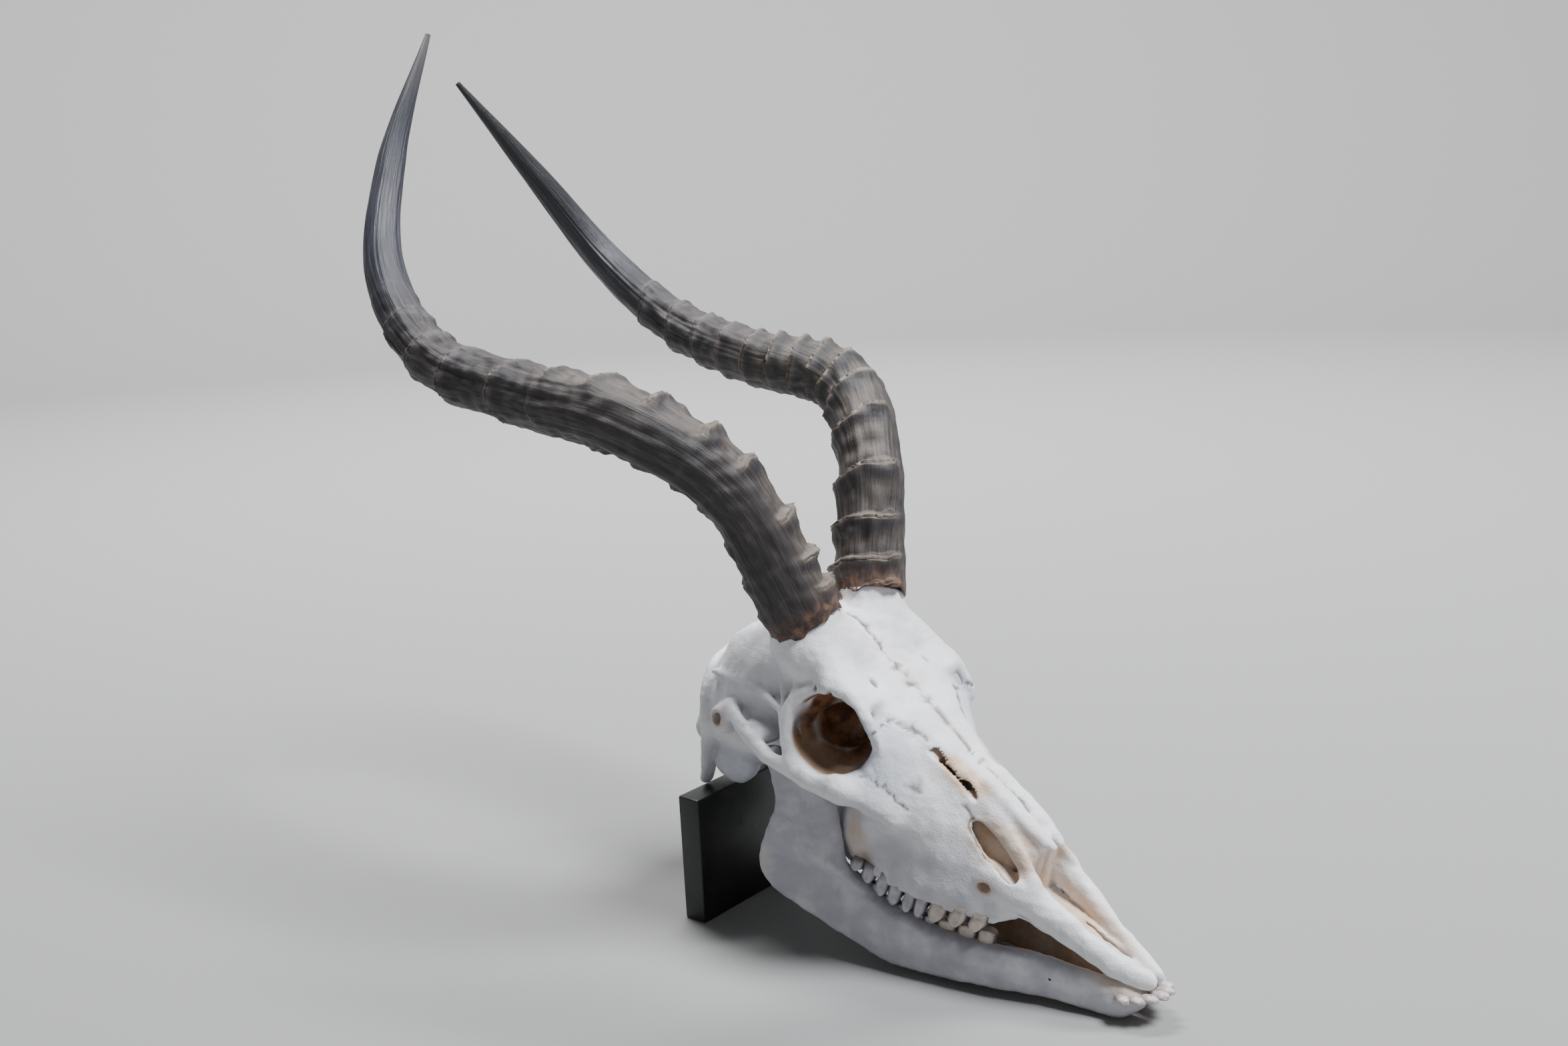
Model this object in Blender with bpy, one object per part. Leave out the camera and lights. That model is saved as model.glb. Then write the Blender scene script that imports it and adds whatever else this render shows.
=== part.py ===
"""An antelope skull with both horns, its loose lower jaw and its teeth, lying on a black display block.

The bones are modelled in the skull's own axes, in millimetres: X to the animal's right, Y towards the
snout and Z up from the palate. One empty tips them face down and turns the snout towards -Y.
The origin is the middle of the block's underside, on the surface that the object stands on.
"""

import math

import bmesh
import bpy
import numpy as np
from mathutils import Matrix, Vector

MM = 0.001

# Driving dimensions, in millimetres and degrees
FACE_DOWN_TILT = 13.0
CHIN_DROP = 84.8
BLOCK_SIZE = (96.0, 14.0, 70.0)
BLOCK_BEHIND_ZERO = 16.0
BLOCK_EDGE_ROUND = 0.8
GAP = 0.3

SKULL_GRAIN = 2.0
JAW_GRAIN = 1.6
SKULL_FACES = 3500
JAW_FACES = 720

HORN_SIDES = 12
HORN_BASE_ROUTE = [(27, 62, 107), (55, 30, 168), (82, -15, 193), (87, -82, 189), (93, -151, 191)]
HORN_TIP_ROUTES = {
    "right": [(83, -209, 224), (54, -245, 278), (22, -259, 344)],
    "left": [(84, -208, 218), (55, -245, 264), (11, -272, 316)],
}
HORN_DIAMETERS = [39, 34.5, 35, 32, 27.5, 22, 15, 3]
HORN_CRESTS = {
    "right": [13, 30, 52, 79, 99, 123, 152, 181, 212, 248, 273, 297],
    "left": [15, 36, 62, 91, 114, 131, 147, 163, 181, 200, 222, 246, 272],
}
CREST_HEIGHT = 3.4
CREST_DROP = 3.0
LAST_RING = 300.0
SMOOTH_HORN_STATIONS = 9

UPPER_TEETH = ["p2", "p3", "p4", "m1", "m2", "m3"]
UPPER_LENGTHS = [10.0, 10.5, 10.5, 14.0, 15.5, 15.5]
UPPER_ROW_FRONT = (22.5, 193.5)
UPPER_ROW_BACK = (31.0, 117.0)
LOWER_ROW_FRONT = (19.5, 196.0)
LOWER_ROW_BACK = (29.5, 121.0)
# Height of the line where upper and lower cheek teeth meet, at places along Y
BITE_LINE = [(112, -5), (123, -6.6), (130, -9.6), (137, -12.8), (146, -14.6), (155, -14.9), (163, -13.8),
             (176, -12), (185, -9.6), (197, -7.4)]
UPPER_TOOTH_WIDTH = 9.5
LOWER_TOOTH_WIDTH = 7.0
BITE_GAP = 0.6
CUSP_HEIGHT = 1.2
UPPER_ROOT = -2.0
LOWER_ROOT = -21.5
# How far down and up the troughs for the cheek teeth are cut
BELOW_UPPER_TEETH = -20.0
ABOVE_LOWER_TEETH = 4.0
# Front teeth: middle of the root, middle of the edge, width
FRONT_TEETH = [
    ((2.35, 266.0, -15.2), (2.85, 278.4, -7.5), 5.0),
    ((6.1, 264.2, -15.8), (7.9, 275.4, -8.7), 4.8),
    ((9.0, 260.8, -16.6), (12.2, 270.4, -10.5), 4.4),
    ((10.8, 256.8, -17.2), (15.2, 264.4, -12.5), 4.0),
]

SIDES = {"right": 1, "left": -1}


def clear_scene():
    for obj in list(bpy.data.objects):
        bpy.data.objects.remove(obj, do_unlink=True)


def material(name, colour, roughness):
    made = bpy.data.materials.new(name)
    made.use_nodes = True
    shader = made.node_tree.nodes["Principled BSDF"]
    shader.inputs["Base Color"].default_value = (*colour, 1)
    shader.inputs["Roughness"].default_value = roughness
    shader.inputs["Metallic"].default_value = 0
    return made


def finish_mesh(name, bm, look=None, parent=None):
    """An object of this mesh, with its faces turned outwards."""
    bmesh.ops.recalc_face_normals(bm, faces=bm.faces)
    mesh = bpy.data.meshes.new(name)
    bm.to_mesh(mesh)
    bm.free()
    mesh.shade_smooth()
    mesh.set_sharp_from_angle(angle=math.radians(40))
    if look:
        mesh.materials.append(look)
    obj = bpy.data.objects.new(name, mesh)
    bpy.context.scene.collection.objects.link(obj)
    obj.parent = parent
    return obj


def cutter(name, bm, parent):
    obj = finish_mesh(name, bm, parent=parent)
    obj.hide_render = True
    obj.display_type = "WIRE"
    return obj


def cut(obj, tool):
    boolean = obj.modifiers.new(tool.name, "BOOLEAN")
    boolean.operation = "DIFFERENCE"
    boolean.object = tool


def fuse(obj, grain, smoothing, factor=0.5):
    """Joins overlapping shapes into one skin and rounds the creases between them."""
    remesh = obj.modifiers.new("one_skin", "REMESH")
    remesh.mode = "VOXEL"
    remesh.voxel_size = grain * MM
    smooth = obj.modifiers.new("rounding", "SMOOTH")
    smooth.factor = factor
    smooth.iterations = smoothing


def thin_out(obj, share):
    decimate = obj.modifiers.new("fewer_faces", "DECIMATE")
    decimate.ratio = share
    decimate.use_collapse_triangulate = True


def face_count(obj):
    graph = bpy.context.evaluated_depsgraph_get()
    evaluated = obj.evaluated_get(graph)
    mesh = evaluated.to_mesh()
    mesh.calc_loop_triangles()
    count = len(mesh.loop_triangles)
    evaluated.to_mesh_clear()
    return count


def add_rings(bm, rings):
    """Skins a row of closed rings, given in millimetres, and caps both ends."""
    rows = [[bm.verts.new([c * MM for c in point]) for point in ring] for ring in rings]
    count = len(rows[0])
    for low, high in zip(rows, rows[1:]):
        for i in range(count):
            j = (i + 1) % count
            bm.faces.new((low[i], low[j], high[j], high[i]))
    bm.faces.new(rows[0][::-1])
    bm.faces.new(rows[-1])


def add_ball(bm, centre, radii, turn=(0, 0, 0), fineness=3):
    made = bmesh.ops.create_icosphere(bm, subdivisions=fineness, radius=1)
    turned = Matrix.LocRotScale(None, None, Vector(radii) * MM)
    for axis, degrees in zip("XYZ", turn):
        turned = Matrix.Rotation(math.radians(degrees), 4, axis) @ turned
    placed = Matrix.Translation(Vector(centre) * MM) @ turned
    bmesh.ops.transform(bm, matrix=placed, verts=made["verts"])


def smooth_route(points, count):
    """Evenly spread points on a Catmull-Rom curve through the given ones."""
    points = np.array(points, float)
    ends = np.vstack([2 * points[0] - points[1], points, 2 * points[-1] - points[-2]])
    fine = []
    for i in range(len(points) - 1):
        a, b, c, d = ends[i:i + 4]
        for t in np.linspace(0, 1, 24, endpoint=False):
            fine.append(0.5 * (2 * b + (c - a) * t + (2 * a - 5 * b + 4 * c - d) * t**2
                               + (3 * b - 3 * c + d - a) * t**3))
    fine = np.array(fine + [points[-1]])
    along = np.r_[0, np.cumsum(np.linalg.norm(np.diff(fine, axis=0), axis=1))]
    if np.isscalar(count):
        stations = np.linspace(0, along[-1], count)
    else:
        stations = np.minimum(count, along[-1])
    route = np.stack([np.interp(stations, along, fine[:, k]) for k in range(3)], axis=1)
    # The last value is the distances along the route of the points that were given
    return route, stations, along[::24]


def frames_along(route, first_side):
    """The direction and two side directions at each point, with as little twist as possible."""
    steps = np.gradient(route, axis=0)
    steps /= np.linalg.norm(steps, axis=1)[:, None]
    side = np.array(first_side, float)
    frames = []
    for step in steps:
        side = side - step * (side @ step)
        side /= np.linalg.norm(side)
        frames.append((step, side, np.cross(step, side)))
    return frames


def add_tube(bm, points, radii, sides=14, stations=16, flat=1.0, first_side=(0, 0, 1)):
    """A rod of changing radius with rounded ends. Flat is its thickness across first_side."""
    route, along, given = smooth_route(points, stations)
    widths = np.interp(along, given, radii)
    frames = frames_along(route, first_side)
    rings = []
    angles = np.linspace(0, 2 * math.pi, sides, endpoint=False)

    def ring(centre, frame, radius):
        _, side, other = frame
        return [centre + radius * (math.cos(a) * side + flat * math.sin(a) * other) for a in angles]

    for share in (0.35, 0.8):
        depth = widths[0] * math.sqrt(1 - share**2)
        rings.append(ring(route[0] - frames[0][0] * depth * 0.9, frames[0], widths[0] * share))
    for centre, frame, radius in zip(route, frames, widths):
        rings.append(ring(centre, frame, radius))
    for share in (0.8, 0.35):
        depth = widths[-1] * math.sqrt(1 - share**2)
        rings.append(ring(route[-1] + frames[-1][0] * depth * 0.9, frames[-1], widths[-1] * share))
    add_rings(bm, rings)


def add_loft(bm, sections):
    """Closed sections given as (y, right half outline from the top to the bottom), mirrored to the left."""
    rings = []
    for y, half in sections:
        right = [(x, y, z) for x, z in half]
        left = [(-x, y, z) for x, z in reversed(half[1:-1])]
        rings.append(right + left)
    add_rings(bm, rings)


def interpolate(table, value):
    table = sorted(table)
    return float(np.interp(value, [row[0] for row in table], [row[1] for row in table]))


def mirrored(points, side):
    return [(x * side, y, z) for x, y, z in points]


# The skull

BRAINCASE_AND_FACE = [
    (2, [(0, 50), (13, 48), (22, 42), (27, 32), (24, 20), (12, 12), (0, 12)]),
    (9, [(0, 68), (15, 64), (27, 50), (32, 37), (30, 20), (16, 8), (0, 8)]),
    (22, [(0, 82), (17, 77), (29, 62), (35, 44), (33, 22), (18, 8), (0, 8)]),
    (40, [(0, 96), (19, 92), (31, 76), (35, 55), (32, 28), (18, 10), (0, 9)]),
    (56, [(0, 103), (22, 101), (34, 86), (33, 62), (28, 36), (16, 14), (0, 12)]),
    (70, [(0, 103), (27, 102), (39, 90), (27, 66), (22, 42), (13, 18), (0, 15)]),
    (84, [(0, 97), (27, 96), (41, 85), (25, 64), (19, 42), (12, 20), (0, 17)]),
    (100, [(0, 90), (24, 89), (41, 80), (28, 62), (22, 40), (16, 16), (0, 12)]),
    (114, [(0, 83), (21, 83), (38, 77), (37, 60), (35, 40), (28, 6), (0, 5)]),
    (126, [(0, 78), (18, 77), (36, 68), (45, 54), (43, 38), (31, 0), (0, 4)]),
    (138, [(0, 72), (15, 70), (28, 58), (38, 44), (37, 28), (32, -4), (0, 3)]),
    (152, [(0, 64), (13, 62), (22, 50), (30, 38), (33, 18), (31, -5), (0, 2)]),
    (170, [(0, 55), (12, 53), (19, 42), (25, 30), (29, 12), (29, -5), (0, 1)]),
    (188, [(0, 46), (10, 44), (16, 34), (22, 22), (25, 9), (25, -4), (0, 0)]),
    (198, [(0, 41), (8, 39), (13, 30), (19, 20), (21, 9), (21, -2), (0, 0)]),
    (203, [(0, 39), (7, 37), (10, 30), (15, 20), (17, 9), (17, 0), (0, 0)]),
]

ORBIT_RIM = [(43, 95, 85.5), (42, 111, 82), (42.5, 124, 68), (46, 125, 53), (51.5, 114, 43), (53, 95, 40.5),
             (48.5, 79, 50), (44, 75, 70), (43, 95, 85.5)]
ORBIT_RIM_RADII = [4, 4, 4.5, 5.5, 5.5, 5.2, 3.8, 3.4, 4]
ARCH = [(52, 92, 41), (50, 78, 39), (49, 64, 40.5), (45.5, 48, 44), (38, 32, 46)]
ARCH_RADII = [4.8, 4.2, 3.8, 3.8, 4.5]
NUCHAL_CREST = [(33, 12, 30), (31, 9, 42), (22, 5, 55), (0, 3, 63), (-22, 5, 55), (-31, 9, 42),
                (-33, 12, 30)]
PAROCCIPITAL = [(29, 15, 26), (28, 14, 8), (26, 12.5, -7)]
PAROCCIPITAL_RADII = [8, 6.4, 4.6]
PREMAXILLA = [(20, 186, 16), (18, 204, 15), (15.5, 219, 10), (12.5, 234, 4), (9.5, 247, -0.5),
              (6, 260, -3.5), (3.4, 267.5, -4.5)]
PREMAXILLA_RADII = [8, 9, 8, 6.4, 6, 5.6, 4.4]
NASAL_TIP = [(5, 170, 54), (5, 190, 45), (4.5, 203, 38.5), (3.2, 211, 35)]
BROW = [(24, 78, 100), (34, 86, 93), (41, 93, 86)]
FACIAL_RIDGE = [(50, 116, 42), (44, 127, 38), (38, 139, 32)]
PTERYGOID = [(11, 108, 8), (10, 96, 5), (9, 84, 4), (9, 74, 8)]
HORN_BASE = HORN_BASE_ROUTE[0]


def horn_direction():
    route, _, _ = smooth_route(HORN_BASE_ROUTE, 60)
    return Vector(route[2] - route[0]).normalized()


def add_skull_side(bm, side):
    """The paired forms of one half of the skull. Side is 1 for the right half and -1 for the left."""
    across_rim = (side, 0, 0.3)
    add_tube(bm, mirrored(ORBIT_RIM, side), ORBIT_RIM_RADII, stations=36, flat=0.75, first_side=across_rim)
    add_tube(bm, mirrored(ARCH, side), ARCH_RADII, flat=0.75)
    add_tube(bm, mirrored(PAROCCIPITAL, side), PAROCCIPITAL_RADII, flat=0.6, first_side=(0, 1, 0))
    add_tube(bm, mirrored(PREMAXILLA, side), PREMAXILLA_RADII, stations=24, flat=0.8)
    add_tube(bm, mirrored(NASAL_TIP, side), [5, 5, 4.2, 2.4], flat=0.7, first_side=(1, 0, 0))
    add_tube(bm, mirrored(BROW, side), [6, 6, 5], flat=0.7)
    add_tube(bm, mirrored(FACIAL_RIDGE, side), [6, 5.5, 4])
    add_tube(bm, mirrored(PTERYGOID, side), [3, 2.6, 2.4, 3], flat=1.8)
    # The side of the braincase, the cup of the eye socket, and the wall behind the tooth row
    add_ball(bm, (16 * side, 39, 62), (18, 30, 28), turn=(18, 0, 0))
    add_ball(bm, (30 * side, 97, 60), (16, 20, 17))
    add_ball(bm, (29 * side, 115, 18), (4, 9, 15))
    # The ear bones, the joint of the skull with the neck, the roof of the jaw joint and the horn's root
    add_ball(bm, (23 * side, 29, 10), (9.5, 14, 13.5))
    add_ball(bm, (38 * side, 28, 38), (7, 9, 9))
    add_ball(bm, (11 * side, -1, 13), (8, 8.5, 10.5))
    add_ball(bm, (36 * side, 54, 42), (12, 10, 6))
    add_ball(bm, (24 * side, 70, 92), (21, 22, 14))
    base = Vector(mirrored([HORN_BASE], side)[0])
    lean = Vector(mirrored([tuple(horn_direction())], side)[0])
    inner = base - lean * 30
    add_tube(bm, [tuple(inner), tuple(base - lean * 10), tuple(base + lean * 6)], [24, 18.5, 18], sides=24)


def add_palate_floor(bm):
    """The thin plate between the two rods of the snout."""
    stations = [(192, 18, 4), (212, 15, 3), (232, 11, 1), (250, 6.5, -2), (264, 3, -3.5)]
    rings = [[(w, y, z + 2), (w, y, z - 2.4), (-w, y, z - 2.4), (-w, y, z + 2)] for y, w, z in stations]
    add_rings(bm, rings)


def skull_mesh():
    bm = bmesh.new()
    add_loft(bm, BRAINCASE_AND_FACE)
    add_tube(bm, NUCHAL_CREST, [3, 3.4, 3.4, 3.6, 3.4, 3.4, 3], stations=24)
    add_palate_floor(bm)
    for side in SIDES.values():
        add_skull_side(bm, side)
    return bm


def orbit_cutter(parent):
    """The eye sockets: an egg that narrows towards the middle of the skull."""
    bm = bmesh.new()
    for side in SIDES.values():
        add_ball(bm, (44 * side, 101, 63.5), (24, 21, 19.3), turn=(8 * side, 0, -12 * side))
    return cutter("orbit_cutter", bm, parent)


def nose_cutter(parent):
    """The nasal passage, open at the front between the two rods."""
    bm = bmesh.new()
    stations = [(150, 8, 8, 44), (165, 11, 6, 46), (182, 13, 5, 40), (196, 12.5, 5, 35), (206, 11, 5.5, 34),
                (214, 10.5, 5, 33), (224, 9, 3.5, 34)]
    rings = []
    for y, w, low, high in stations:
        middle = (low + high) / 2
        rings.append([(w, y, low), (w, y, middle), (w * 0.5, y, high), (-w * 0.5, y, high), (-w, y, middle),
                      (-w, y, low)])
    add_rings(bm, rings)
    return cutter("nose_cutter", bm, parent)


def opening_cutter(parent):
    """The paired openings of the face, the ear openings and the hole for the spinal cord."""
    bm = bmesh.new()
    for side in SIDES.values():
        add_ball(bm, (20.5 * side, 186, 30.5), (8, 19, 5.2), turn=(-34, 0, 6 * side), fineness=2)
        add_ball(bm, (15.5 * side, 156, 56), (5, 15, 2.2), turn=(-30, 0, -6 * side), fineness=2)
        add_ball(bm, (28 * side, 187, 13), (6, 4.4, 2.6), fineness=2)
        add_ball(bm, (22 * side, 106, 92), (2.4, 3, 7), fineness=2)
        add_ball(bm, (45 * side, 27, 39), (9, 4, 4), fineness=2)
        add_ball(bm, (9 * side, 82, 6), (5.5, 22, 6), fineness=2)
    add_ball(bm, (0, -2, 21), (8.5, 13, 8))
    return cutter("opening_cutter", bm, parent)


def palate_slit_cutter(parent):
    """The two long slits in the floor of the snout."""
    bm = bmesh.new()
    for side in SIDES.values():
        add_ball(bm, (4.5 * side, 236, 0), (2.2, 17, 9), turn=(0, 0, 4 * side), fineness=2)
    return cutter("palate_slit_cutter", bm, parent)


def pedicle_cutter(parent):
    """Cuts the bony horn cores off flat, where the horns sit."""
    bm = bmesh.new()
    for side in SIDES.values():
        base = Vector(mirrored([HORN_BASE], side)[0])
        lean = Vector(mirrored([tuple(horn_direction())], side)[0])
        across = lean.orthogonal().normalized()
        other = lean.cross(across)
        rings = []
        for height in (0, 30):
            rings.append([tuple(base + lean * height + 27 * (a * across + b * other))
                          for a, b in ((1, 1), (-1, 1), (-1, -1), (1, -1))])
        add_rings(bm, rings)
    return cutter("pedicle_cutter", bm, parent)


# Teeth

def tooth_places(front, back):
    """Centre, direction along the row and length of each cheek tooth, from front to back."""
    front, back = Vector(front), Vector(back)
    along = (back - front).normalized()
    share = (back - front).length / sum(UPPER_LENGTHS)
    places = []
    start = 0.0
    for length in UPPER_LENGTHS:
        length *= share
        places.append((front + along * (start + length / 2), along, length))
        start += length
    return places


def cheek_tooth_mesh(centre, along, length, width, root, gap, lobes):
    """A crown from its root to the bite line: one or two lobes seen from above, each with a cusp."""
    bm = bmesh.new()
    half = length / 2 - GAP
    across = Vector((-along.y, along.x))
    outline = []
    per_lobe = 4
    for edge in (1, -1):
        for i in range(lobes * per_lobe + 1):
            t = i / (lobes * per_lobe)
            bulge = 0.62 + 0.38 * abs(math.sin(math.pi * lobes * t))
            outline.append((edge * (2 * t - 1) * half, edge * width / 2 * bulge))
    towards_root = 1 if gap > 0 else -1
    rings = []
    for share, swell in ((0, 0.86), (0.6, 1.0), (1, 0.86)):
        ring = []
        for a, b in outline:
            flat = centre + along * a * swell + across * b * swell
            bite = interpolate(BITE_LINE, flat.y) + gap
            lobe = abs(math.sin(math.pi * lobes * (a / half + 1) / 2))
            notch = CUSP_HEIGHT * (1 - lobe) * towards_root if share == 1 else 0
            ring.append((flat.x, flat.y, root + (bite - root) * share + notch))
        rings.append(ring)
    add_rings(bm, rings)
    return bm


def mirror_mesh(bm, side):
    if side < 0:
        bmesh.ops.scale(bm, vec=(-1, 1, 1), verts=bm.verts)
        bmesh.ops.reverse_faces(bm, faces=bm.faces)
    return bm


def add_teeth(parent, look):
    """Twelve upper and twelve lower cheek teeth and eight lower front teeth, each its own object."""
    for word, side in SIDES.items():
        rows = (
            ("upper", UPPER_ROW_FRONT, UPPER_ROW_BACK, UPPER_TOOTH_WIDTH, UPPER_ROOT, BITE_GAP / 2),
            ("lower", LOWER_ROW_FRONT, LOWER_ROW_BACK, LOWER_TOOTH_WIDTH, LOWER_ROOT, -BITE_GAP / 2),
        )
        for row, front, back, width, root, gap in rows:
            for name, (centre, along, length) in zip(UPPER_TEETH, tooth_places(front, back)):
                lobes = 1 if name in ("p2", "p3", "p4") else 2
                bm = cheek_tooth_mesh(centre, along, length, width, root, gap, lobes)
                finish_mesh(f"{row}_{name}_{word}", mirror_mesh(bm, side), look, parent)
        for number, (root, edge, width) in enumerate(FRONT_TEETH, start=1):
            bm = bmesh.new()
            add_rings(bm, front_tooth_rings(root, edge, width, FRONT_TOOTH_SHAPE))
            finish_mesh(f"incisor_{number}_{word}", mirror_mesh(bm, side), look, parent)


# Share of the way from the root to the edge, share of the width, thickness
FRONT_TOOTH_SHAPE = [(0, 0.6, 3.4), (0.5, 0.84, 3.0), (0.85, 1.0, 1.8), (1, 0.9, 0.8)]
FRONT_SOCKET_SHAPE = [(-0.05, 0.7, 4.2), (0.5, 0.9, 4.0), (1.1, 1.02, 3.6)]


def front_tooth_rings(root, edge, width, shape):
    """Rings along a front tooth: a narrow root that widens to a thin edge."""
    root, edge = Vector(root), Vector(edge)
    lift = edge - root
    across = lift.cross(Vector((0, 0, 1))).normalized()
    thin = across.cross(lift).normalized()
    rings = []
    for share, wide, thick in shape:
        middle = root + lift * share
        half = width / 2 * wide
        corners = ((1, 0), (0.6, 1), (-0.6, 1), (-1, 0), (-0.6, -1), (0.6, -1))
        rings.append([tuple(middle + across * half * a + thin * thick / 2 * b) for a, b in corners])
    return rings


def add_strip(bm, front, back, width, low, high):
    """A straight box along a tooth row, a little longer than the row at both ends."""
    front, back = Vector(front), Vector(back)
    along = (back - front).normalized()
    across = Vector((-along.y, along.x)) * width / 2
    ends = (front - along * GAP * 2, back + along * GAP * 2)
    rings = []
    for end in ends:
        corners = ((end + across, low), (end + across, high), (end - across, high), (end - across, low))
        rings.append([(flat.x, flat.y, z) for flat, z in corners])
    add_rings(bm, rings)


def upper_socket_cutter(side, word, parent):
    bm = bmesh.new()
    width = UPPER_TOOTH_WIDTH + 4 * GAP
    add_strip(bm, UPPER_ROW_FRONT, UPPER_ROW_BACK, width, BELOW_UPPER_TEETH, UPPER_ROOT + 2 * GAP)
    return cutter(f"upper_socket_cutter_{word}", mirror_mesh(bm, side), parent)


# The lower jaw

# Its outline from the side, as (y, z)
JAW_OUTLINE = [
    (61, 34), (65, 38), (71, 36), (75, 38), (77, 46), (80, 51), (85, 49), (92, 41), (104.5, 31), (110, 18),
    (114, 5), (118, -5), (125, -12), (139, -18), (160, -20), (180, -18.5), (198, -15.5), (207, -13),
    (220, -11.5), (234, -11), (250, -9.5), (266, -9), (270, -13), (267, -20), (261, -26), (251, -29),
    (236, -31), (218, -34), (201, -38), (186, -42), (174, -45), (160, -48), (144, -50), (123, -47.5),
    (101, -43.5), (86, -41), (76, -38), (69, -32), (66, -23), (69, -5), (72, 10), (68, 22),
]
# The jaw's distance from the middle of the skull, its thickness and the ramus's lean outwards, along Y
JAW_ROUTE = [(270, 4.2), (261, 7), (248, 9.5), (228, 13), (206, 19.5), (180, 23.5), (150, 27.5),
             (120, 31.5), (100, 36), (80, 39), (60, 42)]
JAW_THICKNESS = [(270, 7), (250, 8), (230, 8.5), (206, 11.5), (150, 13), (120, 12.5), (104, 8), (84, 6.5),
                 (60, 7)]
RAMUS_FLARE = [(60, 0), (80, 2), (100, 5.5), (125, 8), (140, 4), (160, 0)]
LOWER_BORDER = [(8, 258, -18), (13.5, 230, -22), (21, 200, -27), (27, 165, -34), (32, 125, -34)]
LOWER_BORDER_RADII = [6, 6.4, 7.4, 8, 7]
CHIN = [(6.8, 262, -15), (6.4, 254, -17), (8, 246, -18)]
CHIN_RADII = [6.1, 6, 5.5]
RAMUS_FOOT = -17
CONDYLE = (39.5, 66, 34)
CONDYLE_RADII = (7, 4.5, 4)


def jaw_mesh(side):
    """One half of the lower jaw: its side outline given thickness, then bent towards the chin."""
    bm = bmesh.new()
    corners = [bm.verts.new((0, y * MM, z * MM)) for y, z in JAW_OUTLINE]
    bm.faces.new(corners)
    for station in range(68, 270, 8):
        shape = bm.verts[:] + bm.edges[:] + bm.faces[:]
        bmesh.ops.bisect_plane(bm, geom=shape, plane_co=(0, station * MM, 0), plane_no=(0, 1, 0))
    plate = bmesh.ops.extrude_face_region(bm, geom=bm.faces[:])
    front = {item for item in plate["geom"] if isinstance(item, bmesh.types.BMVert)}
    for vert in bm.verts:
        y = vert.co.y / MM
        rise = min(max((vert.co.z / MM - RAMUS_FOOT) / 12, 0), 1)
        lean = interpolate(JAW_ROUTE, y) + rise * interpolate(RAMUS_FLARE, y)
        half = interpolate(JAW_THICKNESS, y) / 2
        vert.co.x = (lean + (half if vert in front else -half)) * MM
    bmesh.ops.recalc_face_normals(bm, faces=bm.faces)
    add_ball(bm, CONDYLE, CONDYLE_RADII)
    add_tube(bm, LOWER_BORDER, LOWER_BORDER_RADII, flat=1.3, first_side=(1, 0, 0))
    add_tube(bm, CHIN, CHIN_RADII)
    return mirror_mesh(bm, side)


def lower_socket_cutter(side, word, parent):
    bm = bmesh.new()
    width = LOWER_TOOTH_WIDTH + 4 * GAP
    add_strip(bm, LOWER_ROW_FRONT, LOWER_ROW_BACK, width, LOWER_ROOT - 2 * GAP, ABOVE_LOWER_TEETH)
    return cutter(f"lower_socket_cutter_{word}", mirror_mesh(bm, side), parent)


def front_socket_cutter(side, word, parent):
    """Room for the root of each front tooth."""
    bm = bmesh.new()
    for root, edge, width in FRONT_TEETH:
        add_rings(bm, front_tooth_rings(root, edge, width + GAP, FRONT_SOCKET_SHAPE))
    return cutter(f"front_socket_cutter_{word}", mirror_mesh(bm, side), parent)


def midline_cutter(side, word, parent):
    """The plane that keeps the two halves of the jaw apart at the chin."""
    bm = bmesh.new()
    wall = [(GAP / 2, 20), (-30, 20), (-30, -50), (GAP / 2, -50)]
    add_rings(bm, [[(x, y, z) for x, z in wall] for y in (300, 230)])
    return cutter(f"midline_cutter_{word}", mirror_mesh(bm, side), parent)


# Horns

def ring_relief(angle, s):
    """Height of a crest: greatest on the inner side and the front, fading towards the smooth tip."""
    facing = 0.5 + 0.5 * math.cos(angle - math.radians(80))
    fade = min(1.0, max(0.0, (LAST_RING + 20 - s) / 200))
    return CREST_HEIGHT * fade * max(facing, 0.35)


def horn_mesh(word, side):
    """A tapering ringed horn. Each ring flares out to its crest and drops at once on the tip's side."""
    points = HORN_BASE_ROUTE + HORN_TIP_ROUTES[word]
    _, fine, given = smooth_route(points, 400)
    crests = HORN_CRESTS[word]
    stations = [GAP]
    for crest, following in zip(crests, crests[1:] + [LAST_RING + 20]):
        stations += [crest, crest + CREST_DROP, crest + (following - crest) * 0.62]
    stations += list(np.linspace(stations[-1] + 18, fine[-1], SMOOTH_HORN_STATIONS))
    route, along, _ = smooth_route(points, np.array(stations))
    frames = frames_along(route, (0, 1, 0))
    radii = np.interp(along, given, HORN_DIAMETERS) / 2
    angles = np.linspace(0, 2 * math.pi, HORN_SIDES, endpoint=False)
    rings = []
    for centre, (step, front, other), radius, s in zip(route, frames, radii, along):
        share = 0.72 if s in crests else -0.28
        ring = []
        for angle in angles:
            reach = radius + share * ring_relief(angle, s)
            ring.append(centre + reach * (math.cos(angle) * front + math.sin(angle) * other))
        rings.append(ring)
    # The first ring lies in the plane of the bony core's cut end
    lean = np.array(horn_direction())
    base = np.array(HORN_BASE, float) + lean * GAP
    rings[0] = [point - lean * ((point - base) @ lean) for point in rings[0]]
    bm = bmesh.new()
    add_rings(bm, rings)
    return mirror_mesh(bm, side)


# The whole object

def block_object(look):
    width, depth, height = (size * MM for size in BLOCK_SIZE)
    bm = bmesh.new()
    bmesh.ops.create_cube(bm, size=1)
    bmesh.ops.scale(bm, vec=(width, depth, height), verts=bm.verts)
    bmesh.ops.translate(bm, vec=(0, 0, height / 2), verts=bm.verts)
    bmesh.ops.bevel(bm, geom=bm.edges[:], offset=BLOCK_EDGE_ROUND * MM, segments=1, affect="EDGES")
    return finish_mesh("display_block", bm, look)


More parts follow.
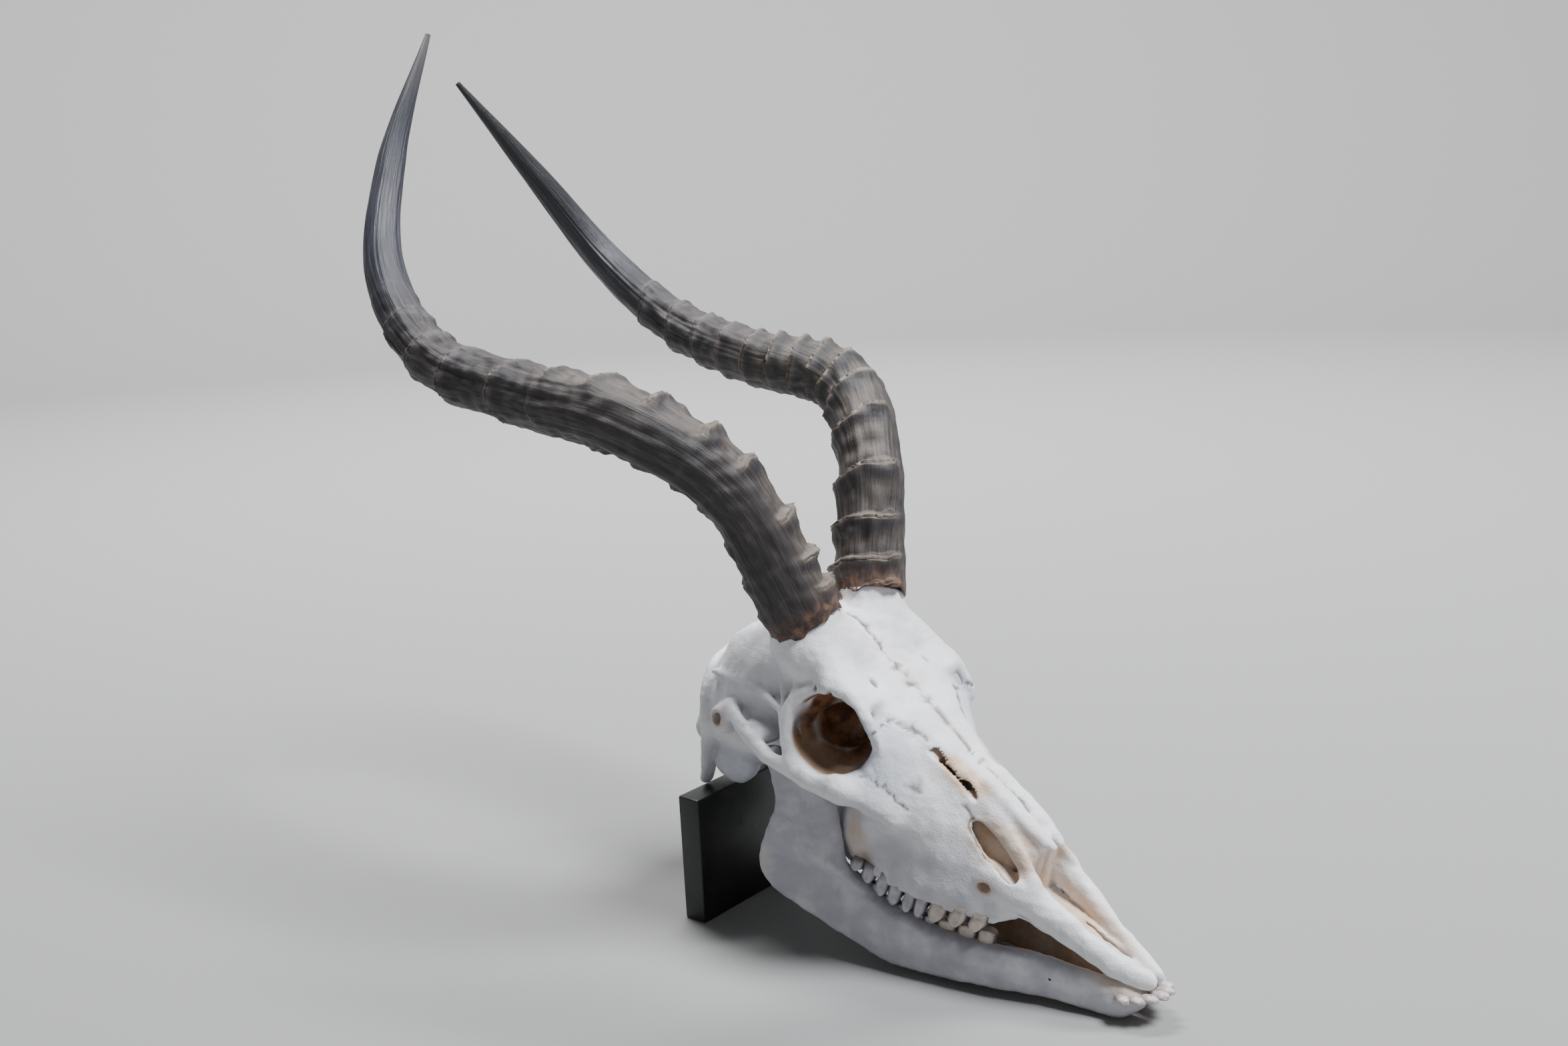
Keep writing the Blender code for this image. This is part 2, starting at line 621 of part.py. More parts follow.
def build():
    clear_scene()
    bone = material("bone", (0.82, 0.80, 0.76), 0.55)
    enamel = material("tooth_enamel", (0.62, 0.61, 0.58), 0.35)
    keratin = material("horn_keratin", (0.12, 0.10, 0.085), 0.45)
    black = material("black_block", (0.012, 0.012, 0.014), 0.5)

    pose = bpy.data.objects.new("skull_pose", None)
    bpy.context.scene.collection.objects.link(pose)
    pose.rotation_euler = (math.radians(-FACE_DOWN_TILT), 0, math.pi)
    pose.location = (0, BLOCK_BEHIND_ZERO * MM, CHIN_DROP * MM)

    skull = finish_mesh("cranium", skull_mesh(), bone, pose)
    fuse(skull, SKULL_GRAIN, 8)
    for tool in (orbit_cutter(pose), nose_cutter(pose), opening_cutter(pose), palate_slit_cutter(pose)):
        cut(skull, tool)
    fuse(skull, SKULL_GRAIN, 2)
    thin_out(skull, SKULL_FACES / face_count(skull))
    cut(skull, pedicle_cutter(pose))
    for word, side in SIDES.items():
        cut(skull, upper_socket_cutter(side, word, pose))

    for word, side in SIDES.items():
        jaw = finish_mesh(f"lower_jaw_{word}", jaw_mesh(side), bone, pose)
        fuse(jaw, JAW_GRAIN, 6)
        thin_out(jaw, JAW_FACES / face_count(jaw))
        cut(jaw, lower_socket_cutter(side, word, pose))
        cut(jaw, front_socket_cutter(side, word, pose))
        cut(jaw, midline_cutter(side, word, pose))
        finish_mesh(f"horn_{word}", horn_mesh(word, side), keratin, pose)

    add_teeth(pose, enamel)
    block_object(black)


build()
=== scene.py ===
"""Looks for an antelope skull with both horns, its loose lower jaw and its teeth, on a black display block.

The bones are modelled in the skull's own axes, in millimetres: X to the animal's right, Y towards the
snout and Z up from the palate. place() turns a finished mesh into the frame's metres.
"""

import math

import bmesh
import bpy
import numpy as np
from mathutils import Euler, Matrix, Vector


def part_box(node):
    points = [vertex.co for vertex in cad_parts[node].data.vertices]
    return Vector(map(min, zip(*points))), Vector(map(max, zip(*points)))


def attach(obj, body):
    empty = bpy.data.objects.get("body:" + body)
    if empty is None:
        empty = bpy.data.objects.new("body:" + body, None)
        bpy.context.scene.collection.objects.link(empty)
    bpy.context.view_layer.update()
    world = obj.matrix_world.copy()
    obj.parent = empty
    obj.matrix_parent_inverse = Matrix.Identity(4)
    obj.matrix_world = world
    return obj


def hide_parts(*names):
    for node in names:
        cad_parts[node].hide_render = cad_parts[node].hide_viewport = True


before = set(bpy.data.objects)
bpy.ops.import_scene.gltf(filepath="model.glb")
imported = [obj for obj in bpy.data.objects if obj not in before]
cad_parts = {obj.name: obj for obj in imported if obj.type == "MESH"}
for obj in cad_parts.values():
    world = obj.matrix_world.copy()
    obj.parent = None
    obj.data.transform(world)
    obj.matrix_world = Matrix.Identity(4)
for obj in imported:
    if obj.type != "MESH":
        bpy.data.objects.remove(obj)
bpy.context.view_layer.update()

MM = 0.001
FAR = 1000.0

# Driving dimensions, in millimetres and degrees, as in the CAD source
FACE_DOWN_TILT = 13.0
CHIN_DROP = 84.8
BLOCK_BEHIND_ZERO = 16.0
BODY = "root"

SKULL_GRAIN = 0.95
JAW_GRAIN = 0.85
MOST_TRIANGLES = 190000

SKULL_POSE = (
    Matrix.Translation((0, BLOCK_BEHIND_ZERO * MM, CHIN_DROP * MM))
    @ Matrix.Rotation(math.pi, 4, "Z")
    @ Matrix.Rotation(math.radians(-FACE_DOWN_TILT), 4, "X")
)


# Curves

def catmull_rom(points, per_span, closed=False):
    """A smooth curve through the points, with per_span steps from each to the next."""
    points = np.array(points, float)
    if closed:
        ends = np.vstack([points[-1], points, points[0], points[1]])
        spans = len(points)
    else:
        ends = np.vstack([2 * points[0] - points[1], points, 2 * points[-1] - points[-2]])
        spans = len(points) - 1
    t = np.linspace(0, 1, per_span, endpoint=False)[:, None]
    curve = []
    for i in range(spans):
        a, b, c, d = ends[i:i + 4]
        curve.append(0.5 * (2 * b + (c - a) * t + (2 * a - 5 * b + 4 * c - d) * t**2
                            + (3 * b - 3 * c + d - a) * t**3))
    return np.vstack(curve + ([] if closed else [points[-1:]]))


def smooth_route(points, count):
    """Points on a smooth curve, at the distances in count or that many evenly spread.

    It also returns their distances, and those of the given points.
    """
    fine = catmull_rom(points, 24)
    along = np.r_[0, np.cumsum(np.linalg.norm(np.diff(fine, axis=0), axis=1))]
    stations = np.linspace(0, along[-1], count) if np.isscalar(count) else np.minimum(count, along[-1])
    route = np.stack([np.interp(stations, along, fine[:, k]) for k in range(3)], axis=1)
    return route, stations, along[::24]


def frames_along(route, first_side):
    """The direction and two side directions at each point, with as little twist as possible."""
    steps = np.gradient(route, axis=0)
    steps /= np.linalg.norm(steps, axis=1)[:, None]
    side = np.array(first_side, float)
    frames = []
    for step in steps:
        side = side - step * (side @ step)
        side /= np.linalg.norm(side)
        frames.append((step, side, np.cross(step, side)))
    return frames


def smooth_step(low, high, value):
    t = np.clip((value - low) / (high - low), 0, 1)
    return t * t * (3 - 2 * t)


def ripple(points, length, seed, waves=14):
    """Smooth noise about zero, as a sum of waves of about that length in every direction."""
    rng = np.random.default_rng(seed)
    total = np.zeros(len(points))
    for _ in range(waves):
        heading = rng.normal(size=3)
        heading *= 2 * math.pi / (length * rng.uniform(0.7, 1.5) * np.linalg.norm(heading))
        total += np.sin(points @ heading + rng.uniform(0, 2 * math.pi))
    return total * math.sqrt(2 / waves)


# Shapes as distances: each shape is its box and a function that gives the distance to it

def smooth_min(a, b, blend):
    """The smaller of two distances, rounded over where they are alike."""
    share = np.maximum(blend - np.abs(a - b), 0) / blend
    return np.minimum(a, b) - share * share * blend / 4


def egg(centre, radii, turn=(0, 0, 0)):
    centre, radii = np.array(centre, float), np.array(radii, float)
    axes = np.array(Euler([math.radians(a) for a in turn]).to_matrix())

    def distance(x, y, z):
        x, y, z = x - centre[0], y - centre[1], z - centre[2]
        scaled = [(x * axes[0, k] + y * axes[1, k] + z * axes[2, k]) / radii[k] for k in range(3)]
        level = np.sqrt(sum(s * s for s in scaled))
        slope = np.sqrt(sum((s / r) ** 2 for s, r in zip(scaled, radii)))
        return level * (level - 1) / np.maximum(slope, 1e-6)

    return centre - radii.max(), centre + radii.max(), distance


def rod(points, radii, flat=1.0, thin=(0, 0, 1), per_span=4):
    """A bent rod with radii along it. Its thickness along thin is flat times its width."""
    route = catmull_rom(points, per_span)
    widths = np.interp(np.linspace(0, 1, len(route)), np.linspace(0, 1, len(radii)), radii)
    thin = np.array(thin, float) / np.linalg.norm(thin)

    def distance(x, y, z):
        best = np.float32(FAR)
        for a, b, wide, next_wide in zip(route, route[1:], widths, widths[1:]):
            step = b - a
            x0, y0, z0 = x - a[0], y - a[1], z - a[2]
            t = np.clip((x0 * step[0] + y0 * step[1] + z0 * step[2]) / (step @ step), 0, 1)
            x0, y0, z0 = x0 - t * step[0], y0 - t * step[1], z0 - t * step[2]
            squared = x0 * x0 + y0 * y0 + z0 * z0
            if flat != 1:
                squared = squared + (x0 * thin[0] + y0 * thin[1] + z0 * thin[2]) ** 2 * (1 / flat**2 - 1)
            best = np.minimum(best, np.sqrt(squared) - (wide + (next_wide - wide) * t))
        return best

    return route.min(0) - widths.max(), route.max(0) + widths.max(), distance


def outline_distance(corners, u, v):
    """Signed distance in a plane from points u, v to a closed outline, negative inside."""
    nearest = np.full(np.broadcast(u, v).shape, FAR**2, np.float32)
    inside = np.zeros(nearest.shape, bool)
    for (u0, v0), (u1, v1) in zip(corners, np.roll(corners, -1, axis=0)):
        du, dv = u1 - u0, v1 - v0
        t = np.clip(((u - u0) * du + (v - v0) * dv) / (du * du + dv * dv + 1e-9), 0, 1)
        nearest = np.minimum(nearest, (u - u0 - t * du) ** 2 + (v - v0 - t * dv) ** 2)
        if v0 != v1:
            inside ^= ((v0 > v) != (v1 > v)) & (u < u0 + (v - v0) * du / dv)
    return np.where(inside, -1, 1) * np.sqrt(nearest)


class Field:
    """Distances to a growing shape, in millimetres, on a grid. Negative is inside."""

    def __init__(self, low, high, grain):
        self.grain = grain
        self.axes = [np.arange(a, b + grain, grain, dtype=np.float32) for a, b in zip(low, high)]
        self.values = np.full([len(axis) for axis in self.axes], FAR, np.float32)

    def near(self, shape, blend):
        low, high, distance = shape
        margin = blend + 3 * self.grain
        part = tuple(slice(int(np.searchsorted(axis, a - margin)), int(np.searchsorted(axis, b + margin)))
                     for axis, a, b in zip(self.axes, low, high))
        x, y, z = (axis[s] for axis, s in zip(self.axes, part))
        return part, distance(x[:, None, None], y[None, :, None], z[None, None, :])

    def join(self, shape, blend):
        part, distance = self.near(shape, blend)
        self.values[part] = smooth_min(self.values[part], distance, blend)

    def carve(self, shape, blend):
        part, distance = self.near(shape, blend)
        self.values[part] = -smooth_min(-self.values[part], distance, blend)

    def join_all(self, parts):
        for shape, blend in parts:
            self.join(shape, blend)

    def carve_all(self, parts):
        for shape, blend in parts:
            self.carve(shape, blend)

    def mirror(self):
        """Adds the left half. The grid has to start at X = 0."""
        self.values = np.concatenate([self.values[:0:-1], self.values])
        self.axes[0] = np.concatenate([-self.axes[0][:0:-1], self.axes[0]])

    def skin(self):
        """Points and quads on the surface. Each grid cell that it crosses has one point."""
        values = self.values
        shape = np.array(values.shape)
        owners, places, turned = [], [], []
        for axis in range(3):
            first = [slice(None)] * 3
            second = [slice(None)] * 3
            first[axis], second[axis] = slice(None, -1), slice(1, None)
            a, b = values[tuple(first)], values[tuple(second)]
            index = np.argwhere((a < 0) != (b < 0))
            index = index[((index > 0) & (index < shape - 1)).all(1)]
            start, stop = a[tuple(index.T)], b[tuple(index.T)]
            place = index.astype(float)
            place[:, axis] += start / (start - stop)
            u, v = (axis + 1) % 3, (axis + 2) % 3
            around = []
            for back_u, back_v in ((0, 0), (1, 0), (1, 1), (0, 1)):
                cell = index.copy()
                cell[:, u] -= back_u
                cell[:, v] -= back_v
                around.append(np.ravel_multi_index(cell.T, values.shape))
            owners.append(np.stack(around, axis=1))
            places.append(place)
            turned.append(start > 0)
        owners, places, turned = np.vstack(owners), np.vstack(places), np.concatenate(turned)
        _, corner = np.unique(owners, return_inverse=True)
        corner = corner.reshape(owners.shape)
        count = np.bincount(corner.ravel())
        sums = [np.bincount(corner.ravel(), np.repeat(places[:, k], 4)) for k in range(3)]
        points = np.stack(sums, axis=1) / count[:, None]
        quads = np.where(turned[:, None], corner[:, ::-1], corner)
        return points * self.grain + [axis[0] for axis in self.axes], quads


# Meshes

def add_object(name, data):
    obj = bpy.data.objects.new(name, data)
    bpy.context.scene.collection.objects.link(obj)
    return obj


def mesh_object(name, points, faces, look):
    """A smooth-shaded object from points in the skull's millimetres. Its place is in its mesh."""
    mesh = bpy.data.meshes.new(name)
    mesh.from_pydata(points.tolist(), [], faces.tolist() if isinstance(faces, np.ndarray) else faces)
    mesh.shade_smooth()
    mesh.materials.append(look)
    return add_object(name, mesh)


def apply_modifiers(obj):
    bpy.context.view_layer.update()
    graph = bpy.context.evaluated_depsgraph_get()
    made = bpy.data.meshes.new_from_object(obj.evaluated_get(graph), depsgraph=graph)
    obj.modifiers.clear()
    old = obj.data
    obj.data = made
    bpy.data.meshes.remove(old)


def soften(obj, rounds):
    smooth = obj.modifiers.new("soften", "SMOOTH")
    smooth.factor = 0.5
    smooth.iterations = rounds
    triangles = 2 * len(obj.data.polygons)
    if triangles > MOST_TRIANGLES:
        fewer = obj.modifiers.new("fewer", "DECIMATE")
        fewer.ratio = MOST_TRIANGLES / triangles
    apply_modifiers(obj)


def vertex_vectors(obj, name):
    values = np.empty(len(obj.data.vertices) * 3)
    obj.data.vertices.foreach_get(name, values)
    return values.reshape(-1, 3)


def mesh_points(obj):
    return vertex_vectors(obj, "co")


def push_out(obj, relief):
    """Moves each point of the mesh along its normal, by millimetres."""
    points = mesh_points(obj) + vertex_vectors(obj, "normal") * relief[:, None]
    obj.data.vertices.foreach_set("co", np.ascontiguousarray(points, np.float32).ravel())
    obj.data.update()


def paint(obj, name, values):
    """Keeps a number for each point of the mesh, for the material to read."""
    attribute = obj.data.attributes.new(name, "FLOAT", "POINT")
    attribute.data.foreach_set("value", np.ascontiguousarray(values, np.float32))


def hollow_of(obj):
    """How far each point lies below its neighbours, in millimetres, spread over a few rings of them."""
    points, normals = mesh_points(obj), vertex_vectors(obj, "normal")
    edges = np.empty(len(obj.data.edges) * 2, np.int64)
    obj.data.edges.foreach_get("vertices", edges)
    a, b = edges.reshape(-1, 2).T
    size = len(points)
    count = np.bincount(a, minlength=size) + np.bincount(b, minlength=size)
    smooth = points.copy()
    for _ in range(10):
        sums = [np.bincount(a, smooth[b, k], size) + np.bincount(b, smooth[a, k], size) for k in range(3)]
        smooth = np.stack(sums, axis=1) / np.maximum(count, 1)[:, None]
    return ((smooth - points) * normals).sum(1)


def folded(points):
    """The points with the left side turned over onto the right."""
    return np.column_stack([np.abs(points[:, 0]), points[:, 1:]])


def spot(points, centre, radii, edge=0.3):
    """1 inside an egg-shaped region, fading to 0 over its edge. It counts for both sides of the skull."""
    level = np.linalg.norm((folded(points) - centre) / radii, axis=1)
    return 1 - smooth_step(1 - edge, 1 + edge, level)


def patches(points, table, edge):
    """The strongest patch at each point, from a table of centres, radii and strengths."""
    found = [strength * spot(points, centre, radii, edge) for centre, radii, strength in table]
    return np.max(found, axis=0)


def line_distance(points, line):
    """Distance from each point to a polyline, on both sides of the skull."""
    points = folded(points)
    best = np.full(len(points), FAR)
    for a, b in zip(line, line[1:]):
        step = b - a
        t = np.clip((points - a) @ step / (step @ step + 1e-9), 0, 1)
        best = np.minimum(best, np.linalg.norm(points - a - t[:, None] * step, axis=1))
    return best


def on_surface(points, line):
    """The line in short steps, each moved to the nearest point of the mesh."""
    fine = catmull_rom(line, 5)
    return np.array([points[np.argmin(((points - step) ** 2).sum(1))] for step in fine])


def place(obj, *nodes, slot):
    """Turns a finished mesh into the frame's metres and lets it stand for its CAD nodes."""
    obj.data.transform(SKULL_POSE @ Matrix.Scale(MM, 4))
    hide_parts(*nodes)
    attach(obj, BODY)
    return obj


# The cranium

# Sections (y, right half outline from top to bottom) of the braincase and face
BRAINCASE_AND_FACE = [
    (2, [(0, 50), (13, 48), (22, 42), (27, 32), (24, 20), (12, 12), (0, 12)]),
    (9, [(0, 68), (15, 64), (27, 50), (32, 37), (30, 20), (16, 8), (0, 8)]),
    (22, [(0, 82), (17, 77), (29, 62), (35, 44), (33, 22), (18, 8), (0, 8)]),
    (40, [(0, 96), (19, 92), (31, 76), (35, 55), (32, 28), (18, 10), (0, 9)]),
    (56, [(0, 103), (22, 101), (34, 86), (33, 62), (28, 36), (16, 14), (0, 12)]),
    (70, [(0, 103), (27, 102), (39, 90), (27, 66), (22, 42), (13, 18), (0, 15)]),
    (84, [(0, 97), (27, 96), (41, 85), (25, 64), (19, 42), (12, 20), (0, 17)]),
    (100, [(0, 90), (24, 89), (41, 80), (28, 62), (22, 40), (16, 16), (0, 12)]),
    (114, [(0, 83), (21, 83), (38, 77), (37, 60), (35, 40), (28, 6), (0, 5)]),
    (126, [(0, 78), (18, 77), (36, 68), (45, 54), (43, 38), (31, 0), (0, 4)]),
    (138, [(0, 72), (15, 70), (28, 58), (38, 44), (37, 28), (32, -4), (0, 3)]),
    (152, [(0, 64), (13, 62), (22, 50), (30, 38), (33, 18), (31, -5), (0, 2)]),
    (170, [(0, 55), (12, 53), (19, 42), (25, 30), (29, 12), (29, -5), (0, 1)]),
    (188, [(0, 46), (10, 44), (16, 34), (22, 22), (25, 9), (25, -4), (0, 0)]),
    (198, [(0, 41), (8, 39), (13, 30), (19, 20), (21, 9), (21, -2), (0, 0)]),
    (203, [(0, 39), (7, 37), (10, 30), (15, 20), (17, 9), (17, 0), (0, 0)]),
]

ORBIT_RIM = [(43, 95, 85.5), (42, 111, 82), (42.5, 124, 68), (46, 125, 53), (51.5, 114, 43), (53, 95, 40.5),
             (48.5, 79, 50), (44, 75, 70), (43, 95, 85.5)]
ORBIT_RIM_RADII = [4, 4, 4.5, 5.2, 6, 5.6, 3.6, 3, 4]
ARCH = [(52, 92, 41), (50, 78, 38), (48, 64, 38), (45.5, 48, 43), (38, 32, 46)]
ARCH_RADII = [4.8, 4.2, 3.8, 3.8, 4.5]
NUCHAL_CREST = [(33, 12, 30), (31, 9, 42), (22, 5, 55), (0, 3, 63)]
TEMPORAL_LINE = [(31, 12, 57), (32.5, 29, 59.5), (36, 48, 61), (41, 68, 60)]
POSTORBITAL_RIDGE = [(30, 51, 92), (35, 60, 80), (39.5, 66, 68), (43, 70, 57), (46, 74, 46)]
PAROCCIPITAL = [(29, 15, 26), (28, 14, 8), (26, 12.5, -7)]
PREMAXILLA = [(20, 186, 16), (18, 204, 15), (15.5, 219, 10), (12.5, 234, 4), (9.5, 247, -0.5),
              (6, 260, -3.5), (3.4, 267.5, -4.5)]
PREMAXILLA_RADII = [8, 9, 8, 6.4, 6, 5.6, 4.4]
NOSE_WALL = [(17, 208, 21), (14.5, 196, 32), (13, 182, 40), (13, 166, 48)]
PALATINE_WALL = [(20, 118, 22), (16, 102, 22), (12, 88, 18)]
NASAL_TIP = [(5, 170, 54), (5, 188, 46), (4.6, 200, 40), (3.4, 207.5, 36.6)]
BROW = [(24, 78, 100), (34, 86, 93), (41, 93, 86)]
FACIAL_RIDGE = [(50, 116, 42), (44, 127, 38), (38, 139, 32)]
PTERYGOID = [(11, 108, 8), (10, 96, 5), (9, 84, 4), (9, 74, 8)]
ALVEOLAR_EDGE = [(30.5, 118, -1.5), (31, 138, -4.5), (29, 158, -4.5), (26, 178, -3), (22.5, 194, -2)]

HORN_BASE_ROUTE = [(27, 62, 107), (55, 30, 168), (82, -15, 193), (87, -82, 189), (93, -151, 191)]
HORN_TIP_ROUTES = {
    "right": [(83, -209, 224), (54, -245, 278), (22, -259, 344)],
    "left": [(84, -208, 218), (55, -245, 264), (11, -272, 316)],
}
HORN_DIAMETERS = [39, 34.5, 35, 32, 27.5, 22, 15, 3]
HORN_BASE = np.array(HORN_BASE_ROUTE[0], float)

UNDER_ORBIT = [(58.5, 84, 38), (60.5, 99, 31.5), (58.5, 115, 33.5)]
ORBIT = ((44, 101, 63.5), (24, 21, 19.3), (8, 0, -12))
SOCKET_CUP = [(54, 102, 62.5), (26, 97, 60)]
BROW_EDGE = [(30, 80, 97), (35, 95, 90), (33, 112, 83)]
PALATE = [(0, 190, 4), (0, 214, 2.4), (0, 236, -0.6), (0, 262, -3.4)]
VOMER = [(0, 186, 7), (0, 206, 6.5), (0, 224, 3)]
ORBIT_DEPTH = ((27, 96, 60), (17, 12, 11), (6, 0, -20))
ORBIT_PLANE = ((46, 101, 63), (0.973, 0.082, 0.216))
ORBIT_NOTCHES = [((44.5, 88, 83), (4, 0.9, 1.6)), ((43.5, 97, 84), (4, 1.2, 2.4)),
                 ((43, 104, 82), (4, 0.8, 1.4))]
FISSURE = [((15.5, 148, 60), (5, 22, 0.6), (-28, 0, -6)), ((16, 146, 62), (6, 5, 1.1), (-34, 0, -6)),
           ((16, 165, 51.5), (6, 6, 1.4), (-34, 0, -6))]
WALL = 2.2
SEAM_DEPTH = 0.5


def horn_direction():
    route, _, _ = smooth_route(HORN_BASE_ROUTE, 60)
    lean = route[2] - route[0]
    return lean / np.linalg.norm(lean)


def loft(sections):
    """Half outlines at stations along Y, joined smoothly both round and along, and mirrored to the left."""
    stations = np.array([y for y, _ in sections], float)
    halves = np.array([half for _, half in sections], float)
    tabled = catmull_rom(np.concatenate([stations[:, None], halves.reshape(len(stations), -1)], axis=1), 12)

    def distance(x, y, z):
        made = np.empty(np.broadcast(x, y, z).shape, np.float32)
        for row, station in enumerate(y.ravel()):
            here = np.clip(station, stations[0], stations[-1])
            half = [np.interp(here, tabled[:, 0], tabled[:, k]) for k in range(1, tabled.shape[1])]
            half = np.reshape(half, (-1, 2))
            whole = np.vstack([half, half[-2:0:-1] * [-1, 1]])
            flat = outline_distance(catmull_rom(whole, 4, closed=True), x[:, 0, :], z[0])
            made[:, row, :] = np.maximum(flat, max(stations[0] - station, station - stations[-1]))
        return made

    wide = np.abs(halves[..., 0]).max()
    low = np.array([0, stations[0], halves[..., 1].min()])
    return low, np.array([wide, stations[-1], halves[..., 1].max()]), distance


def half_space(point, normal, reach):
    """Everything on the side of a plane that its normal points to, within reach of the point."""
    point, normal = np.array(point, float), np.array(normal, float)

    def distance(x, y, z):
        return -((x - point[0]) * normal[0] + (y - point[1]) * normal[1] + (z - point[2]) * normal[2])

    return point - reach, point + reach, distance


def clipped(shape, point, normal):
    """The shape without what lies beyond a plane, on the side that its normal points to."""
    low, high, whole = shape

    def distance(x, y, z):
        beyond = (x - point[0]) * normal[0] + (y - point[1]) * normal[1] + (z - point[2]) * normal[2]
        return np.maximum(whole(x, y, z), beyond)

    return low, high, distance


def nose_hollow(face):
    """The nasal passage: the face less a wall, on one side of the septum."""
    face_distance = face[2]
    front, back, floor, septum = 206, 146, 5.5, 0.9

    def distance(x, y, z):
        inside = face_distance(x, y, z) + WALL
        ends = np.maximum(back - y, y - front)
        return np.maximum(np.maximum(inside, ends), np.maximum(floor - z, septum - x))

    return np.array([0, back, floor]), np.array([30, front, 70]), distance


# Each part of the cranium is a list of shapes, in the order that they join or are carved, with how softly

def braincase_parts():
    """The braincase, the ear bones and the back of the skull."""
    dome = egg((16, 39, 62), (18, 30, 28), (18, 0, 0))
    condyle = egg((11, -1, 13), (8, 8.5, 10.5))
    ear_mound = egg((38, 28, 38), (6, 7, 8))
    ear_bone = egg((23, 29, 10), (9.5, 14, 13.5))
    return [
        (dome, 8),
        (rod(NUCHAL_CREST, [2.6, 3, 3.2, 3.2], per_span=6), 5),
        (rod(TEMPORAL_LINE, [1.4, 1.6, 2, 1.6], per_span=6), 4),
        (condyle, 4),
        (ear_mound, 4),
        (rod(PAROCCIPITAL, [8, 6.4, 4.6], flat=0.6, thin=(0, 1, 0)), 4),
        (ear_bone, 2),
    ]


def brow_parts():
    """The cheek arch, the eye socket's rim, the brow and the horn core."""
    arch_root = egg((36, 54, 42), (12, 10, 5))
    horn_swelling = egg((24, 70, 92), (21, 22, 14))
    lean = horn_direction()
    core = [tuple(HORN_BASE - lean * 30), tuple(HORN_BASE - lean * 10), tuple(HORN_BASE + lean * 6)]
    return [
        (arch_root, 5),
        (rod(ARCH, ARCH_RADII, flat=0.72, thin=(1, 0, 0.2), per_span=6), 3),
        (rod(POSTORBITAL_RIDGE, [1.6, 1.6, 1.6, 1.6, 1.6], per_span=6), 3),
        (rod(ORBIT_RIM, ORBIT_RIM_RADII, flat=0.75, thin=(1, 0, 0.3), per_span=5), 5),
        (horn_swelling, 8),
        (rod(BROW, [6, 6, 5], flat=0.7), 6),
        (rod(core, [24, 18.5, 18]), 7),
    ]


def face_parts():
    """The face, the palate's walls and the eye socket's cup, which the socket is carved from later."""
    molar_mound = egg((30, 116, 16), (6, 9, 17), (0, 0, 8))
    wall_behind_molars = egg((24.5, 112, 10), (4, 14, 21))
    skull_base = egg((0, 66, 14), (12, 34, 7))
    wall_behind_socket = egg((35, 75, 62), (13, 5, 19))
    return [
        (rod(FACIAL_RIDGE, [6, 5.5, 4]), 9),
        (rod(NASAL_TIP, [5, 5, 4.2, 2.4], flat=0.7, thin=(0, 0.4, 1)), 3),
        (rod(ALVEOLAR_EDGE, [2.6, 3, 3, 2.6, 2], per_span=6), 3),
        (rod(PTERYGOID, [3, 2.6, 2.4, 3], flat=1.8), 3),
        (rod(PALATINE_WALL, [22, 18, 10], flat=0.2, thin=(1, 0, 0), per_span=6), 4),
        (molar_mound, 5),
        (wall_behind_molars, 4),
        (skull_base, 5),
        (clipped(rod(SOCKET_CUP, [23.4, 17]), *ORBIT_PLANE), 3),
        (wall_behind_socket, 3),
        (rod(BROW_EDGE, [7, 7, 5], flat=0.7), 8),
    ]


def nose_parts():
    """What stands in and in front of the nasal passage."""
    passage_side = egg((9, 176, 25), (8, 27, 12), (-24, 0, 5))
    return [
        (passage_side, 2),
        (rod(NOSE_WALL, [4.2, 3.8, 3.6, 3.6], flat=0.6, thin=(1, 0, 0.4), per_span=6), 3),
        (rod(PREMAXILLA, PREMAXILLA_RADII, flat=0.72, thin=(1, 0, 0.25), per_span=6), 3),
        (rod(PALATE, [20, 18, 13, 5.5], flat=0.14, per_span=6), 1.5),
        (rod(VOMER, [5, 4, 1.6], flat=0.4, thin=(1, 0, 0)), 1.5),
    ]


def openings():
    """The eye socket and its notches, and the holes and slits of the face and the skull's base."""
    side_of_nose = egg((20.5, 186, 30.5), (7, 19, 4.4), (-34, 0, 6))
    hole_above_premolars = egg((25, 187, 13), (7, 3.2, 2.3), (0, 0, 20))
    hole_in_brow = egg((22, 106, 89), (1.6, 3.2, 9))
    ear = egg((45, 27, 39), (10, 3.2, 3.2))
    back_of_palate = egg((9, 82, 6), (5.5, 22, 6))
    foramen_magnum = egg((0, -2, 21), (8.5, 13, 8))
    palate_slit = egg((3.2, 242, 0), (1.1, 15, 9), (0, 0, 3))
    return [
        (egg(*ORBIT), 2.5),
        (egg(*ORBIT_DEPTH), 3),
        (side_of_nose, 1),
        *((egg(*slit), 0.5) for slit in FISSURE),
        *((egg(*notch), 1.2) for notch in ORBIT_NOTCHES),
        (rod(UNDER_ORBIT, [3, 4.2, 3.4]), 3),
        (hole_above_premolars, 0.8),
        (hole_in_brow, 0.6),
        (ear, 1.5),
        (back_of_palate, 2),
        (foramen_magnum, 2),
        (palate_slit, 0.6),
    ]


def model_cranium():
    field = Field((0, -16, -22), (64, 278, 122), SKULL_GRAIN)
    face = loft(BRAINCASE_AND_FACE)
    field.join(face, 0.1)
    field.join_all(braincase_parts() + brow_parts() + face_parts())
    hollow_before_eye = egg((53, 131, 60), (12, 17, 15))
    field.carve(hollow_before_eye, 6)
    field.carve(nose_hollow(face), 1.5)
    field.join_all(nose_parts())
    field.carve_all(openings())
    field.carve(half_space(HORN_BASE, horn_direction(), 34), 0.5)
    field.mirror()
    return field.skin()


